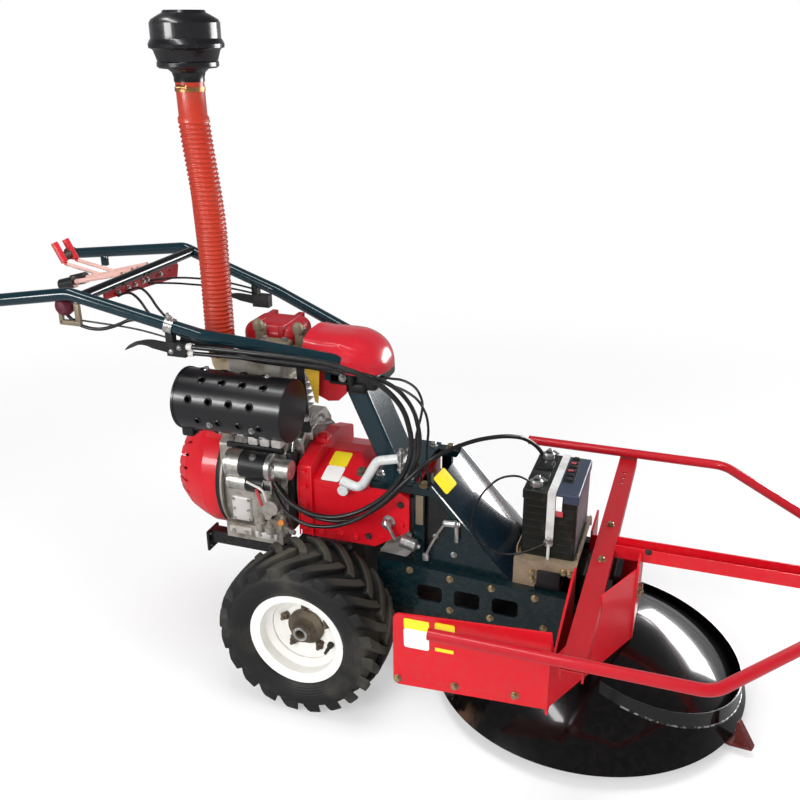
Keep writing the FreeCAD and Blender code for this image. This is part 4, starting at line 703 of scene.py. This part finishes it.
PITCH, CUFF = 0.0105, 0.082
GROOVE, RIB, BORE = 0.0332, 0.0358, 0.0275
low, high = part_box("intake_hose")
low.z -= 0.006
foot = Vector((high.x - 0.0325, (low.y + high.y) / 2, low.z))
head = Vector((low.x + 0.0315, foot.y, high.z))
tall = high.z - low.z
outline = []
for n in range(int((tall - CUFF) / PITCH)):
    outline += [(GROOVE, n * PITCH), (GROOVE, (n + 0.4) * PITCH), (RIB, (n + 0.55) * PITCH),
                (RIB, (n + 0.85) * PITCH)]
outline += [(0.0352, tall - CUFF), (0.0352, tall - CUFF + 0.006), (0.0322, tall - CUFF + 0.010),
            (0.0322, tall), (BORE, tall), (BORE, 0)]
hose = bmesh.new()
lathe(hose, outline, Vector((0, foot.y, foot.z)), UP, 40)
BEND_LOW, BEND_TALL = 1.060, 0.335
for corner in hose.verts:
    climb = min(max((corner.co.z - BEND_LOW) / BEND_TALL, 0), 1)
    corner.co.x += foot.x + (head.x - foot.x) * climb * climb * (3 - 2 * climb)
piece("ribbed_hose", hose, hose_orange, instead=("intake_hose",), angle=60)
clamps = bmesh.new()
lathe(clamps, ring(0.0260, 0.0312, -0.020, -0.004), foot, UP, 48)
lathe(clamps, ring(0.0318, 0.0338, -0.020, -0.010), head, UP, 48)
for screw in (foot + Vector((0, -0.037, -0.013)), head + Vector((0, -0.035, -0.010))):
    lathe(clamps, [(0, -0.012), (0.0045, -0.012), (0.0045, 0.008), (0.006, 0.008), (0.006, 0.012),
                   (0, 0.012)], screw, AHEAD, 12)
piece("hose_clamps", clamps, clamp_brass, angle=30)

# ---------------- Rails, column and handlebars
# Folded and welded steel in a dark blue-green gloss, with zinc bolts where the handlebars are clamped. The
# moulded red hood covers their clamp, over a black bracket, a dark red apron and a yellow gusset.
teal = finish("teal_paint", paint((0.004, 0.020, 0.028), 0.18, 0.5, 0.10))
# Painted shade: the side plates take a darker copy of the teal, for the shade on their near faces.
shaded_teal = finish("shaded_teal_paint", paint((0.002, 0.013, 0.017), 0.24, 0.35, 0.12))
coat(teal, "handlebar_column", "handlebar_left", "handlebar_right")
coat(shaded_teal, "side_plate_left", "side_plate_right")
coat(black_paint, "engine_rails")
coat(finish("crossbar_black", paint((0.003, 0.004, 0.005), 0.16, 0.6, 0.05)), "handlebar_crossbar")
hood_red = finish("hood_red", paint((0.50, 0.010, 0.022), 0.28, 0.5, 0.08, 0.25, 0.00001))
coat(dark_red, "control_gate")
yellow_paint = finish("yellow_paint", paint((0.55, 0.33, 0.03), 0.4, 0.1, 0.2))


def add_plate(shape, outline, y_face, y_back):
    """Adds a plate that stands in the XZ plane, from its outline of (forwards, up) corners."""
    face = shape.faces.new([shape.verts.new(at((x, y_face, z))) for x, z in outline])
    grown = bmesh.ops.extrude_face_region(shape, geom=[face], use_keep_orig=True)["geom"]
    bmesh.ops.translate(shape, vec=(0, y_back - y_face, 0),
                        verts=[part for part in grown if isinstance(part, bmesh.types.BMVert)])


def step(x, knots):
    """A value read off a line through (x, value) knots."""
    for (x0, v0), (x1, v1) in zip(knots, knots[1:]):
        if x <= x1:
            return v0 + (v1 - v0) * max(x - x0, 0) / (x1 - x0)
    return knots[-1][1]


low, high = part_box("column_hood")
hood_long = high.x - low.x
HALF_WIDTH, CROWN, NOSE = 0.099, 0.084, 0.48
hood = bmesh.new()
bmesh.ops.create_grid(hood, x_segments=36, y_segments=60, size=0.5)
for corner in hood.verts:
    run, turn = 1 - (0.5 - corner.co.x) ** 1.6, corner.co.y + 0.5
    along = hood_long * min(run, 0.9995)
    nose = max(along / hood_long - NOSE, 0) / (1 - NOSE)
    half = HALF_WIDTH * (1 - nose ** 2.4) ** (1 / 2.1) * step(along, ((0, 0.93), (0.05, 1), (1, 1)))
    rise = (CROWN + 0.004 * math.exp(-(along / 0.012) ** 2)) * (1 - nose ** 2.2) ** (1 / 1.9)
    sill = step(along, ((0, 0.050), (0.038, 0.050), (0.066, 0.054), (0.088, 0.052), (0.097, 0.030),
                        (0.104, 0.014), (0.128, 0.008), (0.197, 0.0)))
    start = math.asin((min(sill, rise * 0.8) / rise) ** 1.15)
    turn = start + (math.pi - 2 * start) * turn
    ridge = 1 + 0.045 * math.exp(-((min(turn, math.pi - turn) - 0.95 + nose * 0.25) / 0.09) ** 2) * (1 - nose)
    swell = math.copysign(abs(math.cos(turn)) ** 0.66, math.cos(turn))
    corner.co = (low.x + along, -half * swell * ridge, low.z + rise * math.sin(turn) ** 0.87 * ridge)
bmesh.ops.remove_doubles(hood, verts=hood.verts, dist=0.00005)
bmesh.ops.recalc_face_normals(hood, faces=hood.faces)
bmesh.ops.solidify(hood, geom=hood.faces[:], thickness=0.0025)
piece("moulded_hood", hood, hood_red, instead=("column_hood",), angle=50)
boot = bmesh.new()
add_block(boot, (-0.012, -0.086, 0.742), (0.052, 0.086, 0.778), 0.008, 3)
add_block(boot, (0.036, -0.070, 0.730), (0.104, 0.070, 0.772), 0.010, 3)
add_block(boot, (0.004, -0.076, 0.722), (0.080, -0.040, 0.750), 0.010, 3)
add_plate(boot, ((-0.080, 0.798), (-0.062, 0.800), (-0.056, 0.700), (-0.050, 0.624), (-0.074, 0.622)), -0.113,
          -0.107)
piece("hood_bracket", boot, black_plastic)
bolts("hood_bolts", [(0.026, -0.0865, 0.764), (-0.060, -0.1132, 0.662)], NEAR)
for name, y_face, y_back, material, outline in (
    ("hood_apron", -0.084, -0.080, dark_red, (
        (-0.042, 0.784), (0.034, 0.786), (0.034, 0.724), (0.014, 0.704), (-0.012, 0.700),
        (-0.040, 0.712))),
    ("hood_gusset", -0.106, -0.103, yellow_paint, (
        (-0.066, 0.792), (-0.023, 0.792), (-0.030, 0.700), (-0.037, 0.702), (-0.043, 0.730),
        (-0.054, 0.764))),
):
    plate = bmesh.new()
    add_plate(plate, outline, y_face, y_back)
    piece(name, plate, material)
caps = bmesh.new()
for side, out in reversed(SIDES):
    bar_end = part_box(f"handlebar_{side}")[0].x + 0.0005
    lathe(caps, [(0, 0), (0.014, 0), (0.0168, 0.003), (0.0180, 0.008), (0.0180, 0.028), (0.0152, 0.030)],
          Vector((bar_end, out * 0.304, 0.8975)), (0.986, -out * 0.122, 0.115), 32)
piece("handlebar_caps", caps, black_plastic)
blocks("far_bar_post", [((-0.884, 0.278, 0.876), (-0.864, 0.292, 0.906))], teal)
tie = bmesh.new()
lathe(tie, ring(0.0150, 0.0185, -0.010, 0.010), (-0.345, -0.2115, 0.8925), (0.305, 0.050, -0.084), 40)
add_bolt(tie, (-0.345, -0.214, 0.909), (0, -0.2, 1), 0.013, stud=0.006)
piece("bar_clamp", tie, zinc, angle=25)
bolts("crossbar_bolts", [(-0.5495, y, 0.927) for y in (-0.110, -0.069, -0.039, -0.003, 0.015, 0.076)],
      AHEAD, across=0.009)

# ---------------- Levers
# Cranked steel rods with long red grips, a brown lock between them and two black knobs, on the gate below
# the cross tube. The selector arm at the gearbox is a cast lever in light grey.
GRIP_END, KNOB_END, GEARBOX = -0.9755, -0.8985, -0.30


def lever_look(place):
    x, y = place.axis("X"), place.axis("Y")
    at_gearbox = x.rise(GEARBOX, GEARBOX + 0.01)
    knob = (1 - x.rise(KNOB_END, KNOB_END + 0.002)) * (1 - y.rise(0.040, 0.044))
    grip = (1 - x.rise(GRIP_END, GRIP_END + 0.002)) * (1 - knob)
    scuff = place.noise(60, 4).rise(0.55, 0.7)
    tone = at_gearbox.mix((0.62, 0.36, 0.31), (0.56, 0.58, 0.57))
    tone = (scuff * 0.4).mix(tone, (0.30, 0.27, 0.25))
    tone = grip.mix(tone, (0.58, 0.012, 0.022))
    return {"Base Color": knob.mix(tone, (0.006, 0.006, 0.007)), "Roughness": scuff * 0.15 + 0.38,
            "Coat Weight": 0.1, "Height": place.noise(200, 2) * 0.0002}


coat(finish("lever_enamel", lever_look), "gear_levers")
lever_brown = finish("lever_brown", moulded((0.045, 0.028, 0.012)))
coat(black_plastic, "clutch_levers")
blocks("lever_lock", [((-0.846, 0.058, 0.944), (-0.828, 0.092, 0.966), 0.004)], lever_brown)
ferrules = bmesh.new()
for y, z, radius in ((-0.212, 0.846, 0.0082), (-0.208, 0.829, 0.0072)):
    lathe(ferrules, [(radius - 0.0015, 0), (radius, 0), (radius, 0.012), (radius - 0.0015, 0.014)],
          (-0.304, y, z), AHEAD, 20)
piece("clutch_ferrules", ferrules, pale_lead)
lever_face = abs(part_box("clutch_levers")[0].y) + 0.0002
for name, out in (("clutch_bolts", -1), ("far_clutch_bolts", 1)):
    seats = [(x, out * lever_face, z) for x, z in ((-0.340, 0.834), (-0.318, 0.845))]
    bolts(name, seats, (0, out, 0), across=0.008)
turned("throttle_knob", [(0, -0.020), (0.014, -0.018), (0.021, -0.010), (0.023, 0), (0.021, 0.010),
                         (0.014, 0.018), (0, 0.020)], (-0.608, -0.236, 0.922), (0, 1, 0),
       finish("dark_berry", moulded((0.09, 0.006, 0.018))), 28)
blocks("throttle_bracket", [((-0.626, -0.242, 0.880), (-0.616, -0.232, 0.908), 0.002),
                            ((-0.582, -0.240, 0.884), (-0.568, -0.230, 0.930), 0.002),
                            ((-0.626, -0.242, 0.876), (-0.568, -0.230, 0.888), 0.002)],
       brown_cast)

# ---------------- Drive cover and frame
# Folded steel plates in the same blue-green, joined by bolts along both edges of the side rails, with an
# arched cover over the drive. The shift rods and their clevis are outside the near plate.
coat(finish("cover_gloss", paint((0.004, 0.012, 0.020), 0.27, 0.7, 0.03, 0.5, 0.00001)), "drive_cover")
rail_face = abs(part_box("side_plate_right")[0].y) + 0.0002
for side, out in SIDES:
    seats = [(x, out * rail_face, 0.3215 - (x - 0.13) * 0.0485) for x in (0.213, 0.313, 0.414, 0.516)]
    seats += [(x, out * rail_face, 0.226) for x in (0.158, 0.314, 0.413, 0.540)]
    bolts(f"rail_bolts_{side}", seats, (0, out, 0), brass_zinc, 0.0115)
bolts("top_bar_bolts", [(0.236, y, 0.5272) for y in (-0.111, 0.111)], UP, brass_zinc, 0.017)
bolts("foot_plate_bolts", [(x, y, 0.5344) for x in (0.122, 0.194) for y in (-0.098, 0.098)], UP,
      across=0.014)
# Painted shade: a thin black sheet low across the frame, so the side plate windows look into shade.
blocks("belly_shade_sheet", [((0.135, -0.1435, 0.2075), (0.556, 0.1435, 0.2100), 0.0008)], black_paint)
# Painted shade: black plates below the near side plate and behind the shift rods stand in for shaded gaps.
shade_plates = bmesh.new()
add_plate(shade_plates, ((0.100, 0.208), (0.600, 0.208), (0.600, 0.190), (0.330, 0.160), (0.100, 0.140)), -0.1475,
          -0.1450)
add_plate(shade_plates, ((0.203, 0.508), (0.256, 0.508), (0.256, 0.372), (0.203, 0.372)), -0.106, -0.103)
add_plate(shade_plates, ((0.252, 0.506), (0.272, 0.506), (0.300, 0.470), (0.292, 0.420), (0.264, 0.376),
                  (0.252, 0.372)), -0.1272, -0.1255)
add_block(shade_plates, (0.202, -0.122, 0.400), (0.215, -0.106, 0.498))
piece("frame_shade_plates", shade_plates, black_paint)
blocks("lever_post", [((0.219, -0.126, 0.430), (0.238, -0.1222, 0.508), 0.0015)], brown_cast)
rod_y = -0.1345
wire("shift_rod", [(0.248, rod_y, 0.356), (0.268, rod_y, 0.408), (0.294, rod_y, 0.450)], 0.004)
clevis = bmesh.new()
lathe(clevis, [(0, 0), (0.006, 0), (0.0085, 0.003), (0.0085, 0.030), (0.006, 0.034), (0.006, 0.042),
               (0, 0.042)], (0.290, rod_y, 0.451), (1, 0, 0.08), 20)
add_block(clevis, (0.318, rod_y - 0.004, 0.405), (0.328, rod_y + 0.004, 0.452), 0.002)
add_block(clevis, (0.240, rod_y - 0.005, 0.342), (0.256, rod_y + 0.005, 0.362))
add_bolt(clevis, (0.315, -0.1262, 0.366), NEAR, 0.010)
add_bolt(clevis, (0.270, -0.1262, 0.408), NEAR, 0.009)
piece("shift_clevis", clevis, zinc, angle=25)
turned("idler_shaft", [(0, 0), (0.012, 0), (0.0155, 0.003), (0.0155, 0.038), (0.012, 0.041), (0.006, 0.042),
                       (0.006, 0.050), (0, 0.050)], (0.186, -0.138, 0.388), (1, 0, -0.22), zinc, steps=28)
stack = bmesh.new()
arm_end = at((0.190, -case_half - 0.015, 0.607))
for rise, radius, tall in ((-0.036, 0.0052, 0.060), (-0.030, 0.009, 0.006), (-0.016, 0.0085, 0.005),
                           (0.010, 0.0095, 0.006)):
    lathe(stack, ring(0, radius, 0, tall), arm_end + Vector((0, 0, rise)), UP, 12)
piece("selector_pin", stack, zinc, angle=25)
ARCH_RADIUS = 0.2288
slope = Vector((0.198, 0, -0.223)).normalized()
lean = math.asin(0.088 / ARCH_RADIUS)
arch_out = Vector((-slope.z * math.cos(lean), -math.sin(lean), slope.x * math.cos(lean)))
cover_spot = at((0.258, -0.088, 0.536)) + slope * 0.014 + Vector((-slope.z, 0, slope.x)) * 0.0166
label("cover_label", cover_spot + arch_out * 0.0012, arch_out.cross(slope), -slope, 0.046, 0.050,
      yellow_vinyl, ARCH_RADIUS)

# ---------------- Battery
# A starter battery with a black case, ribbed faintly, and a lid that is blue-grey over its cells. It sits
# in a zinc tray under a bright strap with a rod and a nut at each end.
battery_low, battery_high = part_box("battery")
LID_START, LID_TALL, END_THICK, BLUR = 0.3715, 0.0375, 0.0035, 0.001


def battery_look(place):
    x, z = place.axis("X"), place.axis("Z")
    lid_low, end_low = battery_high.z - LID_TALL, battery_high.x - END_THICK
    lid = z.rise(lid_low, lid_low + BLUR) * x.rise(LID_START, LID_START + BLUR)
    end = x.rise(end_low, end_low + BLUR) * (1 - lid)
    dust = place.noise(20, 4).rise(0.5, 0.75) * 0.25
    tone = lid.mix((0.006, 0.008, 0.006), (0.032, 0.042, 0.068))
    tone = end.mix(tone, (0.040, 0.048, 0.062))
    ribs = z.wave(55).rise(0.90, 0.99) * (1 - lid)
    return {"Base Color": dust.mix(tone, (0.09, 0.085, 0.075)), "Roughness": dust * 0.5 + 0.36,
            "Specular IOR Level": 0.35, "Height": ribs * 0.0006 + place.noise(300, 2) * 0.0001}


coat(finish("battery_case", battery_look), "battery")
coat(finish("tray_zinc", rough_cast((0.34, 0.26, 0.17), (0.16, 0.12, 0.08), 0.45, 0.35)), "battery_tray")
coat(finish("pale_zinc", rough_cast((0.72, 0.74, 0.72), (0.45, 0.44, 0.42), 0.42, 0.25)), "battery_strap")
lid_top = battery_high.z - 0.0139
vents = bmesh.new()
add_block(vents, (0.5455, -0.040, lid_top - 0.001), (0.5705, 0.096, lid_top + 0.0016), 0.0008)
for y in (-0.050, 0.012):
    add_block(vents, (0.4735, y, lid_top - 0.001), (0.5135, y + 0.046, lid_top + 0.0030), 0.002)
for n in range(6):
    lathe(vents, [(0, 0), (0.0085, 0), (0.0085, 0.004), (0.006, 0.005), (0, 0.005)],
          (0.5580, -0.028 + n * 0.0225, lid_top + 0.001), UP, 20)
piece("battery_vents", vents, black_plastic)
blocks("vent_marks", [((0.5500, y, lid_top + 0.0040), (0.5620, y + 0.006, lid_top + 0.0072), 0.0008)
                      for y in (0.010, 0.052)], copper_red)
clamp = bmesh.new()
for y in (-0.076, 0.076):
    foot = Vector((battery_low.x + 0.026, y, lid_top))
    lathe(clamp, [(0.0082, 0.001), (0.0150, 0.001), (0.0150, 0.012), (0.0105, 0.015), (0.0082, 0.015)], foot,
          UP, 24)
    add_block(clamp, foot + Vector((-0.010, 0.010, 0.002)), foot + Vector((0.010, 0.026, 0.011)), 0.002)
    add_bolt(clamp, foot + Vector((0.010, 0.018, 0.0065)), AHEAD, 0.010, stud=0.005)
    add_bolt(clamp, foot + Vector((0, 0.018, 0.011)), UP, 0.010, washer=False)
piece("battery_clamps", clamp, zinc, angle=25)
low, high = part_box("battery_strap")
nuts = bmesh.new()
for side in (-1, 1):
    seat = Vector(((low.x + high.x) / 2, side * 0.1075, 0.430))
    lathe(nuts, ring(0, 0.0105, -0.003, 0.003), seat, (0, side, 0), 24)
    add_bolt(nuts, seat + Vector((0, 0, 0.001)), UP, 0.012, stud=0.004)
piece("strap_nuts", nuts, zinc, angle=25)
blocks("strap_tag", [((0.5435, -0.1048, 0.512), (0.5575, -0.1030, 0.548), 0.0006)], white_vinyl)
blocks("strap_tag_red", [((0.5435, -0.1050, 0.498), (0.5605, -0.1028, 0.512), 0.0006)], copper_red)
tray_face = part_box("battery_tray")[0].y - 0.0002
tray_seats = ((0.502, 0.356), (0.503, 0.337), (0.574, 0.370), (0.589, 0.368))
bolts("tray_bolts", [(x, tray_face, z) for x, z in tray_seats], NEAR, brass_zinc, 0.012)
blocks("tray_pad", [((0.514, -0.134, 0.322), (0.568, tray_face, 0.367))], black_plastic)

# ---------------- Front frame and guard
# Welded red plate and tube, with zinc bolts along its lower edge and through the cross beam, and four blank
# stickers on the wing. The beam is a shade darker.
coat(red, "wing_left", "wing_right", "guard_channel")
coat(finish("bar_red", paint((0.47, 0.006, 0.016), 0.28, 0.4, 0.12)), "guard_bar_left", "guard_bar_right")
coat(finish("beam_red", paint((0.42, 0.006, 0.012), 0.36, 0.2, 0.2)), "crossbeam")
low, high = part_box("wing_right")
wing_face, nose_face = low.y, high.x + 0.0002
low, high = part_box("crossbeam")
beam_middle, beam_top = (low.x + high.x) / 2, high.z
channel_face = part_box("guard_channel")[0].y - 0.0001
bolts("wing_bolts", [(x, wing_face, z) for x, z in ((0.290, 0.256), (0.414, 0.267), (0.539, 0.277))], NEAR,
      brass_zinc, 0.0115)
bolts("beam_bolts", [Vector((beam_middle, y, beam_top)) for y in (-0.079, 0.089)], UP, brass_zinc)
nose_seats = [Vector((nose_face, y, z)) for y, z in ((-0.008, 0.294), (-0.060, 0.306), (0.052, 0.240))]
bolts("nose_bolts", nose_seats, AHEAD, brass_zinc, 0.014)
bolts("channel_bolt", [(0.751, channel_face, 0.398)], NEAR, dark_cast, 0.010)
for name, x0, x1, z0, z1, material in (("white", 0.304, 0.358, 0.340, 0.386, white_vinyl),
                                       ("top", 0.304, 0.358, 0.386, 0.410, yellow_vinyl),
                                       ("yellow", 0.370, 0.412, 0.378, 0.414, yellow_vinyl),
                                       ("strip", 0.371, 0.410, 0.345, 0.353, yellow_vinyl)):
    label(f"wing_label_{name}", ((x0 + x1) / 2, wing_face - 0.0006, (z0 + z1) / 2), (1, 0, 0.02),
          (-0.02, 0, 1), x1 - x0, z1 - z0, material)

# ---------------- Cutter
# A spun steel dome in deep black gloss, rusty at its rim, over a black disc with dark red teeth. A collar
# is welded round it, with a bead of bare and painted weld along the joint.


def dome_look(place):
    base = paint((0.002, 0.002, 0.002), 0.17, 0.6, 0.03, 0.25, 0.00001)(place)
    rust = (1 - place.axis("Z").rise(0.044, 0.070)) * place.noise(22, 5).rise(0.45, 0.60)
    rust = rust * (1 - place.axis("X").rise(0.20, 0.30))
    base["Base Color"] = rust.mix(base["Base Color"], (0.085, 0.040, 0.022))
    base["Roughness"] = base["Roughness"] + rust * 0.5
    base["Coat Weight"] = (1 - rust) * 0.6
    return base


coat(finish("gloss_black", dome_look), "disc_hood", "disc_gearbox", "cutting_disc")
coat(finish("tooth_red", paint((0.10, 0.008, 0.008), 0.5, 0.1, 0.3)), "disc_teeth")
coat(zinc, "skid_pan")
ball_middle, ball_radius = at((0.631, 0, -0.3064)), 0.5102
collar_middle, collar_lean = at((0.766, 0, 0.147)), Matrix.Rotation(math.radians(14.7), 3, "Y")
COLLAR_RADIUS, COLLAR_FLARE, COLLAR_DEPTH = 0.238, 0.3, 0.130
bead = []
for n in range(-30, 31):
    swing = math.radians(n * 3.2)
    inside, outside = 0.0, COLLAR_DEPTH
    for _ in range(24):
        drop = (inside + outside) / 2
        reach = COLLAR_RADIUS + drop * COLLAR_FLARE
        spot = collar_middle + collar_lean @ Vector((reach * math.cos(swing), reach * math.sin(swing), -drop))
        if (spot - ball_middle).length > ball_radius:
            inside = drop
        else:
            outside = drop
    bead.append(spot)


BEAD_START = axle.x + 0.712


def weld_look(place):
    bare = place.noise(90, 3).rise(0.50, 0.56)
    return {"Base Color": bare.mix((0.006, 0.006, 0.006), (0.34, 0.34, 0.35)), "Roughness": 0.35,
            "Metallic": bare * 0.6, "Height": place.noise(160, 2) * 0.0006}


wire("collar_weld", [spot for spot in bead if spot.x > BEAD_START], 0.0024, finish("weld_bead", weld_look))

# ---------------- Cables
# Black sheathed control and starter cables, and the thin inner leads that hang between the gate, the bars
# and the column.
sheath = finish("cable_sheath", moulded((0.007, 0.007, 0.007), 0.36, (0.06, 0.055, 0.05), 0.15))
coat(sheath, "cables")
for name, radius, route in (
    ("gate_cable_near", 0.0032, (
        (-0.552, -0.108, 0.916), (-0.520, -0.112, 0.934), (-0.470, -0.140, 0.926), (-0.420, -0.178, 0.902),
        (-0.360, -0.203, 0.876), (-0.275, -0.192, 0.850), (-0.150, -0.146, 0.820), (-0.045, -0.104, 0.794),
        (-0.016, -0.089, 0.776))),
    ("gate_cable_middle", 0.0032, (
        (-0.552, -0.070, 0.918), (-0.512, -0.078, 0.938), (-0.462, -0.110, 0.930), (-0.412, -0.152, 0.908),
        (-0.350, -0.184, 0.884), (-0.272, -0.178, 0.864), (-0.150, -0.130, 0.828), (-0.048, -0.094, 0.806),
        (-0.030, -0.080, 0.790))),
    ("gate_cable_far", 0.0026, (
        (-0.552, 0.030, 0.920), (-0.508, 0.058, 0.926), (-0.450, 0.106, 0.916), (-0.398, 0.162, 0.896),
        (-0.350, 0.202, 0.872))),
    ("gate_cable_far_low", 0.0026, (
        (-0.552, 0.020, 0.916), (-0.505, 0.050, 0.914), (-0.452, 0.098, 0.900), (-0.400, 0.158, 0.884),
        (-0.346, 0.204, 0.858))),
    ("throttle_cable", 0.0042, (
        (-0.606, -0.236, 0.902), (-0.588, -0.236, 0.880), (-0.530, -0.232, 0.868), (-0.476, -0.228, 0.884),
        (-0.438, -0.226, 0.904), (-0.405, -0.222, 0.904))),
    ("bundle_upper", 0.0048, (
        (-0.330, -0.196, 0.858), (-0.270, -0.176, 0.840), (-0.193, -0.152, 0.822), (-0.105, -0.122, 0.806),
        (-0.040, -0.108, 0.802), (0.010, -0.106, 0.798))),
    ("bundle_lower", 0.0052, (
        (-0.300, -0.186, 0.842), (-0.240, -0.166, 0.822), (-0.170, -0.148, 0.806), (-0.100, -0.128, 0.796),
        (-0.030, -0.114, 0.794), (0.030, -0.110, 0.782))),
    ("grey_lead", 0.0022, (
        (-0.602, -0.232, 0.890), (-0.520, -0.224, 0.884), (-0.440, -0.216, 0.878), (-0.370, -0.212, 0.866),
        (-0.344, -0.212, 0.860))),
):
    wire(name, route, radius, sheath)
